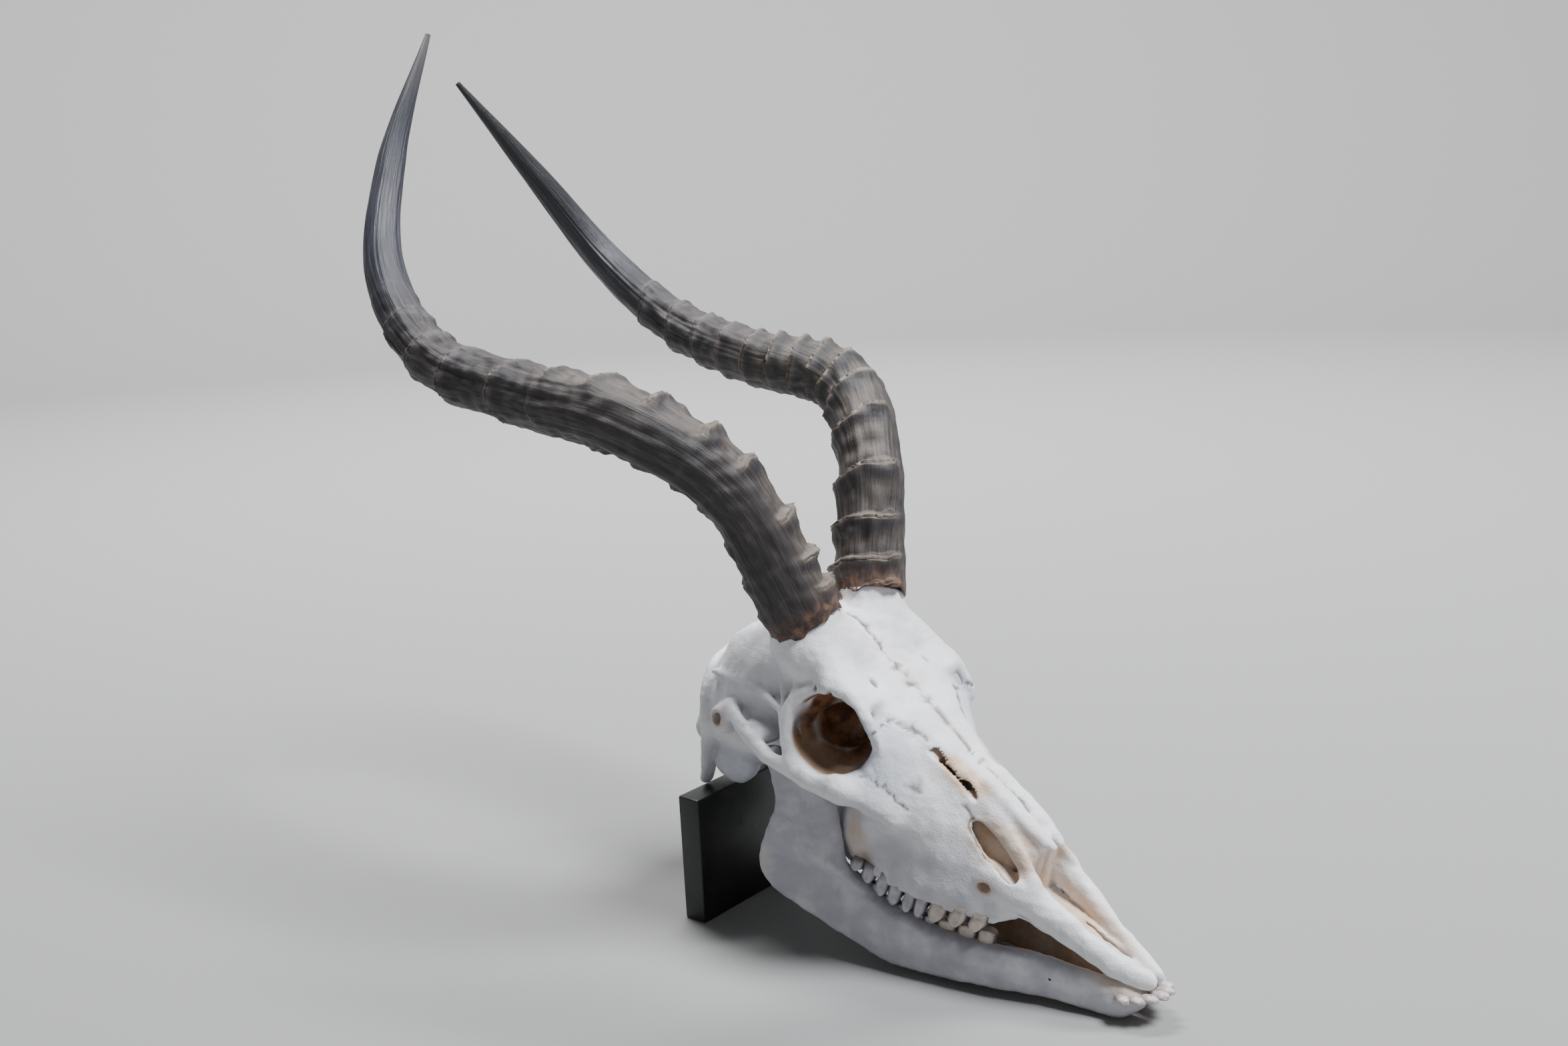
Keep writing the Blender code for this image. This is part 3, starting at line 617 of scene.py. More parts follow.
def build_cranium(look):
    points, quads = model_cranium()
    skull = mesh_object("skull", points, quads, look)
    soften(skull, 3)
    points = mesh_points(skull)
    seam = seam_share(points)
    push_out(skull, 0.22 * ripple(points, 15, 3) + 0.1 * ripple(points, 6, 5) - SEAM_DEPTH * seam)
    paint_skull(skull)
    paint(skull, "seam", seam)
    return place(skull, "cranium", slot="bone")


# Sutures, as lines on the right half that are copied to the left
SEAMS = [
    [(43, 121.6, 72.7), (40, 124.4, 73.7), (36, 125.5, 77.2), (31, 126.2, 79.4), (28, 127.9, 77.8),
     (24, 130.6, 75.8), (21, 134.3, 72.5), (18, 139, 68.1)],
    [(46, 122, 50), (42, 127, 49), (39, 130, 46), (36, 134, 43.5), (34, 135.7, 40.6), (32, 139.9, 38.2),
     (31, 144.6, 35.2)],
    [(31, 140, 48), (28, 144, 46), (26, 146.6, 43.6), (24, 152.5, 44.2), (20, 159.9, 42.6)],
    [(0, 68, 104), (0, 84, 98), (0, 100, 91), (0, 122, 81), (0, 140, 71.5), (0, 160, 60), (0, 190, 46)],
    [(20, 168, 46), (22, 176, 36), (22, 190, 24), (20, 202, 18)],
    [(24, 57, 100), (14, 60, 103), (5, 58, 103), (0, 57, 103)],
]

# Patches of colour on the skull: centre, radii, strength. The first table holds stains, the second painted
# shade
TAN_PATCHES = [
    ((1, 214, 8), (9.5, 46, 16), 1.0), ((12, 180, 28), (11, 30, 15), 1.0), ((13, 152, 55), (6, 26, 9), 1.0),
    ((45, 27, 39), (6, 6.5, 6.5), 0.7), ((30, 6, 37), (5, 5, 9), 0.9), ((22, 59, 106), (22, 10, 6), 0.45),
    ((33, 121, 12), (7, 8, 22), 0.7), ((25, 188, 13), (5, 5, 4), 0.9), ((50, 106, 37), (7, 14, 3.5), 0.45),
    ((12, 22, 0), (14, 14, 6), 0.35), ((36, 60, 34), (10, 22, 6), 0.5),
]
# Painted shade: greyish patches on the lower face, below the eye socket and on the braincase's sides and
# base
SHADE_PATCHES = [
    ((34, 150, 4), (16, 50, 22), 0.75), ((44, 122, 25), (16, 18, 18), 0.6),
    ((34, 40, 50), (16, 34, 22), 0.5), ((38, 60, 60), (12, 12, 30), 0.45), ((22, 15, 5), (20, 30, 20), 0.7),
]


def seam_share(points):
    """1 on the sutures, which wander a little, and 0 away from them."""
    wiggled = points + np.stack([0.5 * ripple(points, 5, seed) for seed in (12, 13, 14)], axis=1)
    near = np.min([line_distance(wiggled, on_surface(points, line)) for line in SEAMS], axis=0)
    return smooth_step(1.5, 0.4, near)


def paint_skull(skull):
    points = mesh_points(skull)
    paint(skull, "hollow", np.clip(hollow_of(skull) / 1.5, -1, 1))
    x, y, z = np.abs(points[:, 0]), points[:, 1], points[:, 2]
    # Painted shade with a brown stain inside the eye socket: dark brown on its inner walls, lighter brown
    # low towards its outer side
    into = np.minimum(egg(*ORBIT)[2](x, y, z), egg(*ORBIT_DEPTH)[2](x, y, z))
    deep_shade_and_stain = smooth_step(1.6, 0.1, into) * smooth_step(52, 49, x)
    paint(skull, "deep_shade_and_stain", deep_shade_and_stain)
    paint(skull, "shallow", smooth_step(26, 42, x) * smooth_step(60, 46, z))
    tan = patches(points, TAN_PATCHES, 0.3)
    paint(skull, "tan", tan)
    blue_face = spot(points, (40, 128, 62), (14, 22, 22), 0.5)
    blue_ear_bone = spot(points, (23, 29, 8), (13, 17, 14), 0.3)
    paint(skull, "blue", np.maximum(blue_face, blue_ear_bone))
    # Painted shade on the patches of the second table, kept off the tan
    paint(skull, "grey_shade", patches(points, SHADE_PATCHES, 0.5) * (1 - tan))


# The lower jaw

JAW_OUTLINE = [
    (61, 34), (65, 38), (71, 36), (75, 38), (77, 46), (80, 51), (85, 49), (92, 41), (104.5, 31), (110, 18),
    (114, 5), (118, -5), (125, -12), (139, -18), (160, -20), (180, -18.5), (198, -15.5), (207, -13),
    (220, -11.5), (234, -11), (250, -9.5), (266, -9), (270, -13), (267, -20), (261, -26), (251, -29),
    (236, -31), (218, -34), (201, -38), (186, -42), (174, -45), (160, -48), (144, -50), (123, -47.5),
    (101, -43.5), (86, -41), (76, -38), (69, -32), (66, -23), (69, -5), (72, 10), (68, 22),
]
JAW_ROUTE = [(60, 42), (80, 39), (100, 36), (120, 31.5), (150, 27.5), (180, 23.5), (206, 19.5), (228, 13),
             (248, 9.5), (261, 7), (270, 4.2)]
JAW_THICKNESS = [(60, 7), (84, 6.5), (104, 8), (120, 12.5), (150, 13), (206, 11.5), (230, 8.5), (250, 8),
                 (270, 7)]
RAMUS_FLARE = [(60, 0), (80, 2), (100, 5.5), (125, 8), (140, 4), (160, 0)]
RAMUS_FOOT = -17
CONDYLE = (41.5, 66, 35)
LOWER_BORDER = [(8, 258, -18), (13.5, 230, -22), (21, 200, -27), (27, 165, -34), (32, 125, -34)]
CHIN = [(6.8, 262, -15), (6.4, 254, -17), (8, 246, -18)]
JAW_STAINS = [((40, 66, -24), (10, 9, 12), 0.45), ((30, 107, -47), (9, 16, 7), 0.45)]


def interpolate(table, value):
    return np.interp(value, [row[0] for row in table], [row[1] for row in table])


def jaw_plate():
    """The jaw's side outline given thickness, thinning to a round edge, and bent towards the chin."""
    outline = catmull_rom(JAW_OUTLINE, 3, closed=True)
    edge_round = 5.0

    def distance(x, y, z):
        flat = outline_distance(outline, y[0], z[0])[None]
        rise = np.clip((z - RAMUS_FOOT) / 12, 0, 1)
        middle = interpolate(JAW_ROUTE, y) + rise * interpolate(RAMUS_FLARE, y)
        inward = np.clip(1 + flat / edge_round, 0, 1)
        half = interpolate(JAW_THICKNESS, y) / 2 * np.sqrt(np.maximum(1 - inward**2, 0.02))
        return np.maximum(flat, np.abs(x - middle) - half).astype(np.float32)

    return np.array([0, 58, -52]), np.array([54, 272, 64]), distance


def model_jaw():
    field = Field((0, 52, -56), (58, 280, 68), JAW_GRAIN)
    field.join(jaw_plate(), 0.1)
    field.join(rod(LOWER_BORDER, [6, 6.4, 7.4, 8, 7], flat=0.77, thin=(1, 0, 0), per_span=6), 5)
    field.join(rod(CHIN, [6.1, 6, 5.5]), 3)
    field.join(egg(CONDYLE, (8, 4.5, 4)), 4)
    hollow_of_branch = egg((53.5, 92, 12), (9, 15, 25), (0, 0, -6))
    hole_at_chin = egg((15.5, 226, -20), (4, 2.2, 1.2), (0, 0, 20))
    other_half = half_space((0.15, 265, -20), (-1, 0, 0), 30)
    field.carve_all([(hollow_of_branch, 4), (hole_at_chin, 0.6), (other_half, 0.3)])
    return field.skin()


def build_jaw(word, side, look):
    points, quads = model_jaw()
    points[:, 0] *= side
    jaw = mesh_object(f"jaw_{word}", points, quads if side > 0 else quads[:, ::-1], look)
    soften(jaw, 4)
    points = mesh_points(jaw)
    push_out(jaw, 0.2 * ripple(points, 16, 8) + 0.08 * ripple(points, 6, 9))
    paint_jaw(jaw)
    return place(jaw, f"lower_jaw_{word}", slot="bone")


def paint_jaw(jaw):
    points = mesh_points(jaw)
    paint(jaw, "hollow", np.clip(hollow_of(jaw) / 1.5, -1, 1))
    inner = smooth_step(1.5, -1.5, np.abs(points[:, 0]) - interpolate(JAW_ROUTE, points[:, 1]))
    low_end = smooth_step(178, 192, points[:, 1]) * smooth_step(232, 205, points[:, 1])
    # Painted shade with a brown stain: a light browning of the inner side near the front of the tooth row
    paint(jaw, "deep_shade_and_stain", 0.3 * inner * low_end)
    paint(jaw, "shallow", low_end)
    chin_top = smooth_step(232, 250, points[:, 1]) * smooth_step(-16, -11, points[:, 2])
    tan = np.maximum(0.8 * chin_top, inner * smooth_step(150, 180, points[:, 1]))
    tan = np.maximum(tan, patches(points, JAW_STAINS, 0.6))
    paint(jaw, "tan", tan)
    # Painted shade: the jaw is darkened to a bluish tone wherever it is not tan
    paint(jaw, "grey_shade", 1 - tan)


# Teeth

UPPER_TEETH = ["p2", "p3", "p4", "m1", "m2", "m3"]
TOOTH_LENGTHS = [10.0, 10.5, 10.5, 14.0, 15.5, 15.5]
UPPER_ROW = ((24.0, 193.5), (32.6, 117.0))
LOWER_ROW = ((19.0, 197.0), (28.6, 121.0))
# Height of the line where upper and lower cheek teeth meet, at places along Y
BITE_LINE = [(112, -5.5), (123, -8.2), (130, -11.8), (137, -15), (146, -16.9), (155, -17.2), (163, -16),
             (176, -13.4), (185, -11), (197, -8.6)]
UPPER_TOOTH_WIDTH = 9.5
LOWER_TOOTH_WIDTH = 7.0
BITE_GAP = 0.6
UPPER_ROOT = -0.6
LOWER_ROOT = -22.0
# Front teeth: middle of the root, middle of the edge, width
FRONT_TEETH = [
    ((2.35, 266.0, -15.2), (2.85, 278.0, -7.7), 5.6),
    ((6.1, 264.2, -15.8), (7.9, 275.2, -8.9), 6.0),
    ((9.0, 260.8, -16.6), (12.2, 270.2, -10.7), 6.2),
    ((10.8, 256.8, -17.2), (15.0, 264.2, -12.7), 5.8),
]
# Rings of a cheek tooth: share of its height and of its width
CHEEK_TOOTH_RINGS = [(0, 0.78), (0.25, 0.84), (0.5, 0.92), (0.72, 0.99), (0.86, 0.99), (0.95, 0.92),
                     (1, 0.82), (0.97, 0.62), (0.9, 0.42), (0.88, 0.2)]
# Rings of a front tooth: share of its length and of its width, and thickness
FRONT_TOOTH_RINGS = [(-0.1, 0.5, 3.6), (0.25, 0.66, 4.2), (0.5, 0.88, 4.4), (0.74, 0.98, 4.0),
                     (0.9, 0.94, 3.2), (0.97, 0.8, 2.2), (1, 0.55, 1.2)]
SIDES = {"right": 1, "left": -1}


def ring_faces(rows, count):
    """Quads between rings of count points each, with both ends closed."""
    faces = []
    for row in range(rows - 1):
        for i in range(count):
            j = (i + 1) % count
            faces.append((row * count + i, row * count + j, (row + 1) * count + j, (row + 1) * count + i))
    faces.append(tuple(range(count))[::-1])
    faces.append(tuple(range((rows - 1) * count, rows * count)))
    return faces


def tooth_places(front, back):
    """Centre, direction along the row and length of each cheek tooth, from front to back."""
    front, back = np.array(front), np.array(back)
    reach = np.linalg.norm(back - front)
    along = (back - front) / reach
    lengths = np.array(TOOTH_LENGTHS) * reach / sum(TOOTH_LENGTHS)
    starts = np.cumsum(lengths) - lengths
    return [(front + along * (start + length / 2), along, length) for start, length in zip(starts, lengths)]


def crown_outline(half, width, lobes, ribs):
    """A crown from above: pointed lobes on an upper tooth's cheek side, round ones on the other."""
    count = 30 * lobes
    t = np.linspace(0, 1, count, endpoint=False)
    wave = np.abs(np.sin(math.pi * lobes * t))
    round_side = 0.45 + 0.55 * wave**0.55
    ribbed_side = 0.38 + 0.62 * (wave**0.5 if not ribs else np.clip(1.2 * wave**0.7, 0, 1))
    a = (2 * t - 1) * half
    outer = np.stack([a, ribbed_side * width / 2], axis=1)
    inner = np.stack([-a, -round_side * width / 2], axis=1)
    return np.vstack([outer, inner])


def cheek_tooth(name, node, centre, along, length, width, root, gap, lobes, side, look):
    """A tooth from its root to the bite line. Each lobe ends in a point on its cheek side."""
    half = length / 2 - 0.35
    across = np.array([along[1], -along[0]])
    across = across if across[0] > 0 else -across
    upper = gap > 0
    rings, shares, grooves = [], [], []
    for share, swell in CHEEK_TOOTH_RINGS:
        outline = crown_outline(half, width, lobes, ribs=upper)
        outline = outline * [0.5 + swell / 2, swell]
        lobe = np.abs(np.sin(math.pi * lobes * (outline[:, 0] / half + 1) / 2))
        cheek = smooth_step(-0.2, 0.6, outline[:, 1] / (width / 2))
        notch = (1 - lobe) * 4.2 + (1 - cheek) * 1.2
        flat = centre + outline[:, :1] * along + outline[:, 1:] * across
        if upper:
            flat = flat + along * (0.12 * (share - 0.5) * length / lobes)
        bite = np.interp(flat[:, 1], *zip(*BITE_LINE)) + gap
        level = root + (bite - root) * share + notch * (1 if upper else -0.4) * smooth_step(0.6, 1, share)
        rings.append(np.column_stack([flat, level]))
        shares.append(np.full(len(outline), share))
        grooves.append(1 - lobe)
    points = np.vstack(rings)
    points[:, 0] *= side
    tooth = mesh_object(name, points, ring_faces(len(rings), len(rings[0])), look)
    paint(tooth, "height", np.concatenate(shares))
    paint(tooth, "groove", np.concatenate(grooves))
    paint(tooth, "premolar", np.full(len(points), 2.0 - lobes))
    fix_normals(tooth)
    return place(tooth, node, slot="tooth")


def fix_normals(obj):
    bm = bmesh.new()
    bm.from_mesh(obj.data)
    bmesh.ops.recalc_face_normals(bm, faces=bm.faces)
    bm.to_mesh(obj.data)
    bm.free()


def front_tooth(name, node, root, edge, width, side, look):
    """A small spade: a narrow root that widens to a thin, slightly uneven edge."""
    root, edge = np.array(root), np.array(edge)
    lift = edge - root
    across = np.cross(lift, (0, 0, 1.0))
    across /= np.linalg.norm(across)
    thin = np.cross(across, lift / np.linalg.norm(lift))
    turns = np.linspace(0, 2 * math.pi, 24, endpoint=False)[:, None]
    rings, shares = [], []
    for share, wide, thick in FRONT_TOOTH_RINGS:
        middle = root + lift * share + thin * 1.2 * math.sin(math.pi * max(share, 0))
        uneven = lift * 0.04 * np.sin(2 * turns + width * 3) * max(share, 0)
        sideways = across * width / 2 * wide * np.cos(turns)
        rings.append(middle + sideways + thin * thick / 2 * np.sin(turns) + uneven)
        shares.append(np.full(len(turns), share))
    points = np.vstack(rings) * [side, 1, 1]
    tooth = mesh_object(name, points, ring_faces(len(rings), len(turns)), look)
    paint(tooth, "height", np.concatenate(shares))
    paint(tooth, "groove", np.zeros(len(points)))
    paint(tooth, "premolar", np.full(len(points), 0.6))
    fix_normals(tooth)
    return place(tooth, node, slot="tooth")


def build_teeth(look):
    rows = (
        ("upper", UPPER_ROW, UPPER_TOOTH_WIDTH, UPPER_ROOT, BITE_GAP / 2),
        ("lower", LOWER_ROW, LOWER_TOOTH_WIDTH, LOWER_ROOT, -BITE_GAP / 2),
    )
    for word, side in SIDES.items():
        for row, ends, width, root, gap in rows:
            for name, (centre, along, length) in zip(UPPER_TEETH, tooth_places(*ends)):
                lobes = 1 if name.startswith("p") else 2
                node = f"{row}_{name}_{word}"
                crown = (centre, along, length, width, root, gap, lobes, side)
                cheek_tooth(f"crown_{node}", node, *crown, look)
        for number, (root, edge, width) in enumerate(FRONT_TEETH, start=1):
            node = f"incisor_{number}_{word}"
            front_tooth(f"crown_{node}", node, root, edge, width, side, look)


# Horns

HORN_ROUND = 120
HORN_STEP = 0.64
CRESTS = {
    "right": [13, 30, 52, 79, 99, 123, 152, 181, 212, 248, 273, 297, 318],
    "left": [0, 15, 36, 62, 91, 114, 131, 147, 163, 181, 200, 222, 246, 272, 298],
}
KNOB_HEIGHT = 5.4
SMOOTH_FROM = 300.0


def ring_shape(s, crests):
    """How far out each place is, 0 to 1, and how far it is past the nearest crest in millimetres.

    From one crest to the next the surface drops at once, runs level and then flares out.
    """
    edges = np.array([-22.0] + crests + [crests[-1] + 30, crests[-1] + 400])
    index = np.clip(np.searchsorted(edges, s, side="right") - 1, 0, len(edges) - 2)
    past, ahead = s - edges[index], edges[index + 1] - s
    share = past / (past + ahead)
    out = np.maximum(1 - smooth_step(-0.6, 3.4, past), share**2.6 * smooth_step(-0.3, 1.6, ahead) ** 0.35)
    return out, np.where(past < ahead, past, -ahead)


def around(phi, middle, half_width, edge):
    """1 within half_width of a direction round the horn, fading to 0 over edge. All in degrees but phi."""
    away = np.abs((phi - math.radians(middle) + math.pi) % (2 * math.pi) - math.pi)
    return smooth_step(math.radians(half_width + edge), math.radians(half_width), away)


def bell(value, middle, half_width):
    return np.exp(-((value - middle) / half_width) ** 2)


def build_horn(word, side, look):
    points = HORN_BASE_ROUTE + HORN_TIP_ROUTES[word]
    _, along, given = smooth_route(points, 400)
    length = along[-1]
    stations = np.append(np.arange(0.3, length, HORN_STEP), length)
    route, along, _ = smooth_route(points, stations)
    frames = frames_along(route, (0, 1, 0))
    front = np.array([f[1] for f in frames])
    other = np.array([f[2] for f in frames])
    radii = np.interp(along, given, HORN_DIAMETERS) / 2
    angles = np.linspace(-math.pi, math.pi, HORN_ROUND, endpoint=False)
    s, phi = np.meshgrid(along, angles, indexing="ij")
    grid = np.column_stack([np.cos(phi).ravel() * 17, np.sin(phi).ravel() * 17, s.ravel() * 0.06])
    low_grid = np.column_stack([grid[:, :2], s.ravel()])
    streaks = ripple(grid, 2.6, 21 + side, waves=40).reshape(s.shape)
    flutes = ripple(grid, 7, 27 + side, waves=24).reshape(s.shape)
    rough = ripple(low_grid, 9, 31 + side, waves=24).reshape(s.shape)

    # Knobs on the front and inner side, small teeth at the back, and low bands all round beyond the bend
    waver = 4.4 * np.cos(phi - math.radians(150)) + 1.3 * np.sin(2 * phi + s * 0.031) + 0.5 * rough
    out, past = ring_shape(s + waver, CRESTS[word])
    knobs = around(phi, 88, 62, 34) * (0.8 + 0.2 * np.cos(phi - math.radians(70)))
    early = smooth_step(215, 160, s)
    fade = smooth_step(SMOOTH_FROM + 35, SMOOTH_FROM - 25, s)
    knobs = knobs * (0.36 + 0.64 * early) * (1 + 0.25 * np.sin(5 * phi + s * 0.13 + side))
    teeth_at_back = 0.36 * around(phi, -138, 24, 30) * smooth_step(190, 140, s)
    bands = 0.4 * smooth_step(170, 225, s) + 0.05
    amount = np.maximum(np.maximum(knobs, teeth_at_back), bands) * fade
    relief = KNOB_HEIGHT * (out - 0.28) * amount
    calm = smooth_step(length, length - 60, s)
    relief += (0.13 * streaks + 0.22 * flutes * smooth_step(330, 250, s) + 0.25 * rough * fade) * calm
    reach = radii[:, None] + relief * np.minimum(1, radii[:, None] / 8)
    outward = np.cos(phi)[..., None] * front[:, None] + np.sin(phi)[..., None] * other[:, None]
    rings = route[:, None] + reach[..., None] * outward

    # The first rings follow the cut end of the bony core, with a ragged edge
    lean = horn_direction()
    base = HORN_BASE + lean * 0.3
    ragged = 1.2 * np.sin(3 * angles + 1 + side) + 0.9 * np.sin(8 * angles) + 0.6 * np.sin(17 * angles)
    hold = smooth_step(26, 0, along)[:, None]
    drop = (rings - base) @ lean
    wanted = along[:, None] - 1.8 + ragged[None] * smooth_step(14, 0, along)[:, None]
    rings += (hold * (wanted - drop))[..., None] * lean
    points = rings.reshape(-1, 3) * [side, 1, 1]
    horn = mesh_object(f"sheath_{word}", points, ring_faces(len(along), HORN_ROUND), look)
    shown = np.clip(amount * 2.2, 0, 1)
    bend = smooth_step(190, 240, s)
    shadow_bend = smooth_step(180, 240, s)
    paint(horn, "along", s.ravel())
    paint(horn, "crest", (bell(past, 0.3, 1.8 + 3.6 * bend) * shown).ravel())
    # Painted shadow on the base side of each crest, where its lip overhangs
    paint(horn, "shadow_under_crest", (bell(past, -4.6, 3.6 + 3.4 * shadow_bend) * shown).ravel())
    paint(horn, "front", (around(phi, 70, 50, 40) * smooth_step(235, 170, s)).ravel())
    paint(horn, "dark_tip", np.full(s.size, 1.0 if side < 0 else 0.0))
    vectors = horn.data.attributes.new("streak", "FLOAT_VECTOR", "POINT")
    vectors.data.foreach_set("vector", np.ascontiguousarray(grid, np.float32).ravel())
    fix_normals(horn)
    return place(horn, f"horn_{word}", slot="horn_keratin")


# The display block

def build_block(look):
    """A slab with slightly worn round edges and corners."""
    low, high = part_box("display_block")
    size = high - low
    bm = bmesh.new()
    bmesh.ops.create_cube(bm, size=1)
    bmesh.ops.scale(bm, vec=size, verts=bm.verts)
    bmesh.ops.translate(bm, vec=(low + high) / 2, verts=bm.verts)
    bmesh.ops.bevel(bm, geom=bm.edges[:], offset=0.9 * MM, segments=3, profile=0.5, affect="EDGES")
    mesh = bpy.data.meshes.new("slab")
    bm.to_mesh(mesh)
    bm.free()
    mesh.shade_smooth()
    mesh.set_sharp_from_angle(angle=math.radians(50))
    mesh.materials.append(look)
    slab = add_object("slab", mesh)
    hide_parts("display_block")
    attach(slab, BODY)


# Materials

class Shader:
    """A material's nodes, joined up by short calls."""

    def __init__(self, name):
        self.material = bpy.data.materials.new(name)
        self.material.use_nodes = True
        self.tree = self.material.node_tree
        self.surface = self.tree.nodes["Principled BSDF"]

    def node(self, kind, **values):
        made = self.tree.nodes.new(kind)
        for key, value in values.items():
            setattr(made, key, value)
        return made

    def link(self, source, target):
        if isinstance(source, (int, float)):
            target.default_value = source
        elif isinstance(source, tuple):
            target.default_value = (*source, 1) if len(target.default_value) == 4 else source
        else:
            self.tree.links.new(source, target)

    def number(self, name):
        return self.node("ShaderNodeAttribute", attribute_name=name).outputs["Fac"]

    def vector(self, name):
        return self.node("ShaderNodeAttribute", attribute_name=name).outputs["Vector"]

    def where(self):
        return self.node("ShaderNodeTexCoord").outputs["Object"]

    def noise(self, scale, detail=4.0, roughness=0.55, distortion=0.0, vector=None):
        made = self.node("ShaderNodeTexNoise")
        made.inputs["Scale"].default_value = scale
        made.inputs["Detail"].default_value = detail
        made.inputs["Roughness"].default_value = roughness
        made.inputs["Distortion"].default_value = distortion
        self.link(vector or self.where(), made.inputs["Vector"])
        return made.outputs["Fac"]

    def cells(self, scale, vector=None):
        made = self.node("ShaderNodeTexVoronoi")
        made.inputs["Scale"].default_value = scale
        self.link(vector or self.where(), made.inputs["Vector"])
        return made.outputs["Distance"]

    def sum(self, operation, *values):
        made = self.node("ShaderNodeMath", operation=operation)
        for value, target in zip(values, made.inputs):
            self.link(value, target)
        return made.outputs[0]

    def times(self, *values):
        return self.sum("MULTIPLY", *values)

    def step(self, value, low, high):
        """0 below low and 1 above high, smooth between. Low may be the larger."""
        made = self.node("ShaderNodeMapRange", interpolation_type="SMOOTHSTEP")
        self.link(value, made.inputs["Value"])
        upward = high > low
        made.inputs["From Min"].default_value = low if upward else high
        made.inputs["From Max"].default_value = high if upward else low
        made.inputs["To Min"].default_value = 0 if upward else 1
        made.inputs["To Max"].default_value = 1 if upward else 0
        return made.outputs["Result"]

    def mix(self, share, first, second):
        made = self.node("ShaderNodeMix", data_type="RGBA")
        self.link(share, made.inputs[0])
        self.link(first, made.inputs[6])
        self.link(second, made.inputs[7])
        return made.outputs[2]

    def bump(self, height, strength, distance):
        made = self.node("ShaderNodeBump")
        made.inputs["Strength"].default_value = strength
        made.inputs["Distance"].default_value = distance
        self.link(height, made.inputs["Height"])
        return made.outputs["Normal"]

    def set(self, **inputs):
        for name, value in inputs.items():
            self.link(value, self.surface.inputs[name.replace("_", " ")])
        return self.material


def bone_material():
    s = Shader("bleached_bone")
    cloud = s.step(s.noise(38, detail=5), 0.35, 0.7)
    colour = s.mix(cloud, (0.80, 0.81, 0.84), (0.70, 0.69, 0.71))
    hollow = s.step(s.number("hollow"), 0.05, 0.7)
    colour = s.mix(s.times(hollow, 0.7), colour, (0.42, 0.33, 0.25))
    patches = s.step(s.noise(90, detail=6), 0.3, 0.62)
    tan = s.times(s.number("tan"), s.sum("MULTIPLY_ADD", patches, 0.4, 0.6))
    colour = s.mix(tan, colour, (0.55, 0.38, 0.25))
    colour = s.mix(s.times(s.number("blue"), 0.6), colour, (0.52, 0.56, 0.66))
    # Painted shade with a brown stain inside the eye socket and on the jaw's inner side: dark brown,
    # lighter where the shallow mask is set
    blotch = s.step(s.noise(140, detail=5), 0.35, 0.65)
    brown = s.mix(blotch, (0.085, 0.030, 0.013), (0.26, 0.12, 0.055))
    brown = s.mix(s.number("shallow"), brown, (0.42, 0.29, 0.20))
    colour = s.mix(s.number("deep_shade_and_stain"), colour, brown)
    seam = s.times(s.number("seam"), s.step(s.noise(200, detail=4), 0.25, 0.45))
    # Painted shade: a dark bluish tone where the shade mask is set, in noisy patches
    patchy = s.step(s.noise(55, detail=5), 0.3, 0.6)
    grey_shade = s.times(s.number("grey_shade"), s.sum("MULTIPLY_ADD", patchy, 0.3, 0.55))
    colour = s.mix(grey_shade, colour, (0.30, 0.295, 0.34))
    colour = s.mix(s.times(seam, 0.9), colour, (0.11, 0.09, 0.085))
    pores = s.step(s.noise(1100, detail=3), 0.3, 0.7)
    relief = s.sum("ADD", s.times(pores, 0.25), s.noise(300, detail=5))
    return s.set(Base_Color=colour, Roughness=0.5, Normal=s.bump(relief, 0.45, 0.0008))


def tooth_material():
    s = Shader("tooth_enamel")
    cloud = s.step(s.noise(260, detail=4), 0.35, 0.7)
    colour = s.mix(cloud, (0.46, 0.46, 0.51), (0.33, 0.32, 0.35))
    cream = s.mix(cloud, (0.56, 0.50, 0.45), (0.44, 0.35, 0.31))
    colour = s.mix(s.number("premolar"), colour, cream)
    neck = s.step(s.sum("ADD", s.number("height"), s.times(s.noise(420), 0.4)), 0.7, 0.3)
    colour = s.mix(s.times(neck, 0.55), colour, (0.14, 0.10, 0.08))
    groove = s.step(s.number("groove"), 0.45, 0.95)
    colour = s.mix(s.times(groove, 0.8), colour, (0.07, 0.045, 0.03))
    return s.set(Base_Color=colour, Roughness=0.35, Normal=s.bump(s.noise(700), 0.25, 0.0004))


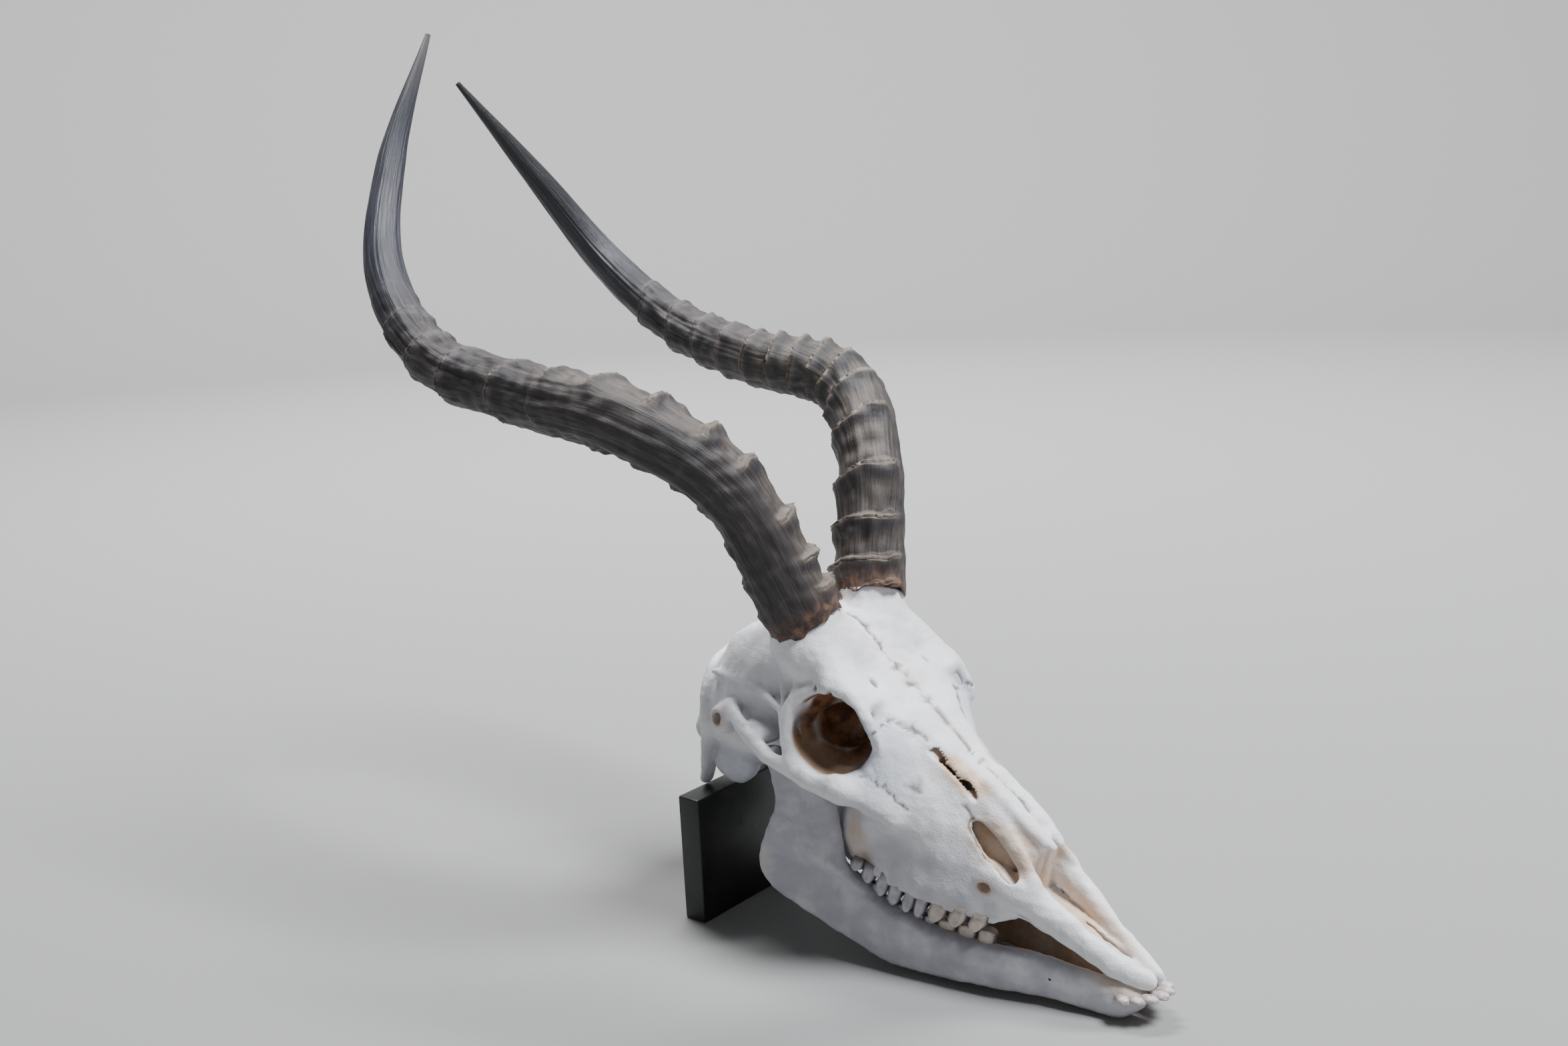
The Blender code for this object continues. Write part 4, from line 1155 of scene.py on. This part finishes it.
def horn_material():
    s = Shader("horn_keratin")
    along = s.number("along")
    streak = s.noise(0.9, detail=6, roughness=0.7, vector=s.vector("streak"))
    broad = s.noise(0.25, detail=3, vector=s.vector("streak"))
    patch = s.noise(24, detail=4)
    dark = s.mix(s.step(patch, 0.35, 0.65), (0.011, 0.010, 0.012), (0.026, 0.022, 0.024))
    colour = s.mix(s.step(streak, 0.42, 0.72), dark, (0.058, 0.048, 0.047))
    colour = s.mix(s.times(s.step(broad, 0.45, 0.75), 0.45), colour, (0.048, 0.040, 0.041))
    # Paler, rubbed keratin on the front side, in patches
    patchy = s.times(s.number("front"), s.step(s.sum("ADD", streak, s.noise(60)), 0.7, 1.25))
    colour = s.mix(s.times(patchy, 0.7), colour, (0.135, 0.113, 0.095))
    # Painted shadow just below each crest
    colour = s.mix(s.times(s.number("shadow_under_crest"), 0.75), colour, (0.015, 0.0135, 0.018))
    crest = s.times(s.number("crest"), s.step(s.noise(170, detail=5), 0.25, 0.6))
    pale = s.mix(s.step(along, 180, 240), (0.22, 0.175, 0.14), (0.12, 0.105, 0.10))
    colour = s.mix(s.times(crest, 0.75), colour, pale)
    base = s.step(s.sum("ADD", along, s.times(s.noise(130, detail=5), 22)), 27, 13)
    red = s.mix(s.step(s.noise(220, detail=5), 0.4, 0.65), (0.035, 0.016, 0.013), (0.15, 0.075, 0.045))
    colour = s.mix(s.times(base, 0.85), colour, red)
    slate = s.step(s.sum("ADD", along, s.times(s.noise(40), 60)), 300, 385)
    upper = s.mix(s.step(streak, 0.35, 0.7), (0.018, 0.020, 0.031), (0.056, 0.058, 0.080))
    upper = s.mix(s.step(along, 430, 500), upper, (0.12, 0.118, 0.12))
    darker = s.times(s.number("dark_tip"), s.step(along, 300, 400))
    upper = s.mix(darker, upper, (0.013, 0.0135, 0.018))
    colour = s.mix(s.times(slate, 0.9), colour, upper)
    relief = s.sum("ADD", streak, s.times(s.noise(420, detail=4), 0.35))
    gloss = s.mix(slate, (0.55, 0.55, 0.55), (0.3, 0.3, 0.3))
    return s.set(Base_Color=colour, Roughness=gloss, Normal=s.bump(relief, 0.55, 0.0009))


def block_material():
    s = Shader("scuffed_black")
    dust = s.step(s.noise(60, detail=6), 0.5, 0.75)
    colour = s.mix(s.times(dust, 0.5), (0.006, 0.0065, 0.008), (0.03, 0.03, 0.032))
    specks = s.step(s.cells(420), 0.12, 0.06)
    colour = s.mix(s.times(specks, 0.25), colour, (0.25, 0.25, 0.25))
    return s.set(Base_Color=colour, Roughness=s.sum("MULTIPLY_ADD", dust, 0.25, 0.38),
                 Normal=s.bump(s.noise(500), 0.2, 0.0003))


# Floor, light and camera

def build_stage():
    """A pale floor that curves up into a wall all round, well away from the object."""
    profile = [(0.0, 0.0)] + [(3.2 + 1.2 * math.sin(a), 1.2 - 1.2 * math.cos(a))
                              for a in np.linspace(0, math.pi / 2, 12)] + [(4.4, 3.5)]
    count = 64
    points = [(0, 0, 0)]
    for radius, height in profile[1:]:
        for i in range(count):
            turn = 2 * math.pi * i / count
            points.append((radius * math.cos(turn), radius * math.sin(turn), height))
    faces = [(0, 1 + i, 1 + (i + 1) % count) for i in range(count)]
    for row in range(len(profile) - 2):
        for i in range(count):
            a, b = 1 + row * count + i, 1 + row * count + (i + 1) % count
            faces.append((a, a + count, b + count, b))
    mesh = bpy.data.meshes.new("floor")
    mesh.from_pydata(points, [], faces)
    mesh.shade_smooth()
    s = Shader("pale_floor")
    mesh.materials.append(s.set(Base_Color=(0.27, 0.27, 0.27), Roughness=0.85))
    floor = add_object("floor", mesh)


def add_light(name, location, target, size, power, colour):
    data = bpy.data.lights.new(name, "AREA")
    data.shape = "DISK"
    data.size = size
    data.energy = power
    data.color = colour
    light = add_object(name, data)
    light.location = location
    light.rotation_euler = (Vector(target) - Vector(location)).to_track_quat("-Z", "Y").to_euler()


def build_lights():
    """A large soft light above and in front, a weak one at the side, and one for the wall behind."""
    middle = (0, -0.05, 0.2)
    add_light("key", (0.5, -1.9, 3.4), middle, 1.3, 300, (0.96, 0.98, 1.0))
    add_light("fill", (-2.6, -0.6, 1.6), middle, 1.2, 3, (0.93, 0.96, 1.0))
    add_light("wall_light", (0.6, 0.9, 2.9), (3.2, 2.6, 0.6), 1.6, 360, (1.0, 1.0, 1.0))
    world = bpy.data.worlds.new("studio")
    world.use_nodes = True
    world.node_tree.nodes["Background"].inputs["Color"].default_value = (0.75, 0.78, 0.82, 1)
    world.node_tree.nodes["Background"].inputs["Strength"].default_value = 0.1
    bpy.context.scene.world = world


CAMERA_PLACE = (-0.5937, -0.5391, 0.3811)
CAMERA_TURN = (77.85, 2.79, -50.31)
CAMERA_LENS = 35.234


def build_camera():
    data = bpy.data.cameras.new("photo_view")
    data.sensor_width = 36
    data.lens = CAMERA_LENS
    data.clip_start = 0.01
    camera = add_object("photo_view", data)
    camera.location = CAMERA_PLACE
    camera.rotation_euler = [math.radians(a) for a in CAMERA_TURN]
    bpy.context.scene.camera = camera


def main():
    bone, enamel, keratin = bone_material(), tooth_material(), horn_material()
    build_cranium(bone)
    for word, side in SIDES.items():
        build_jaw(word, side, bone)
        build_horn(word, side, keratin)
    build_teeth(enamel)
    build_block(block_material())
    build_stage()
    build_lights()
    build_camera()


main()
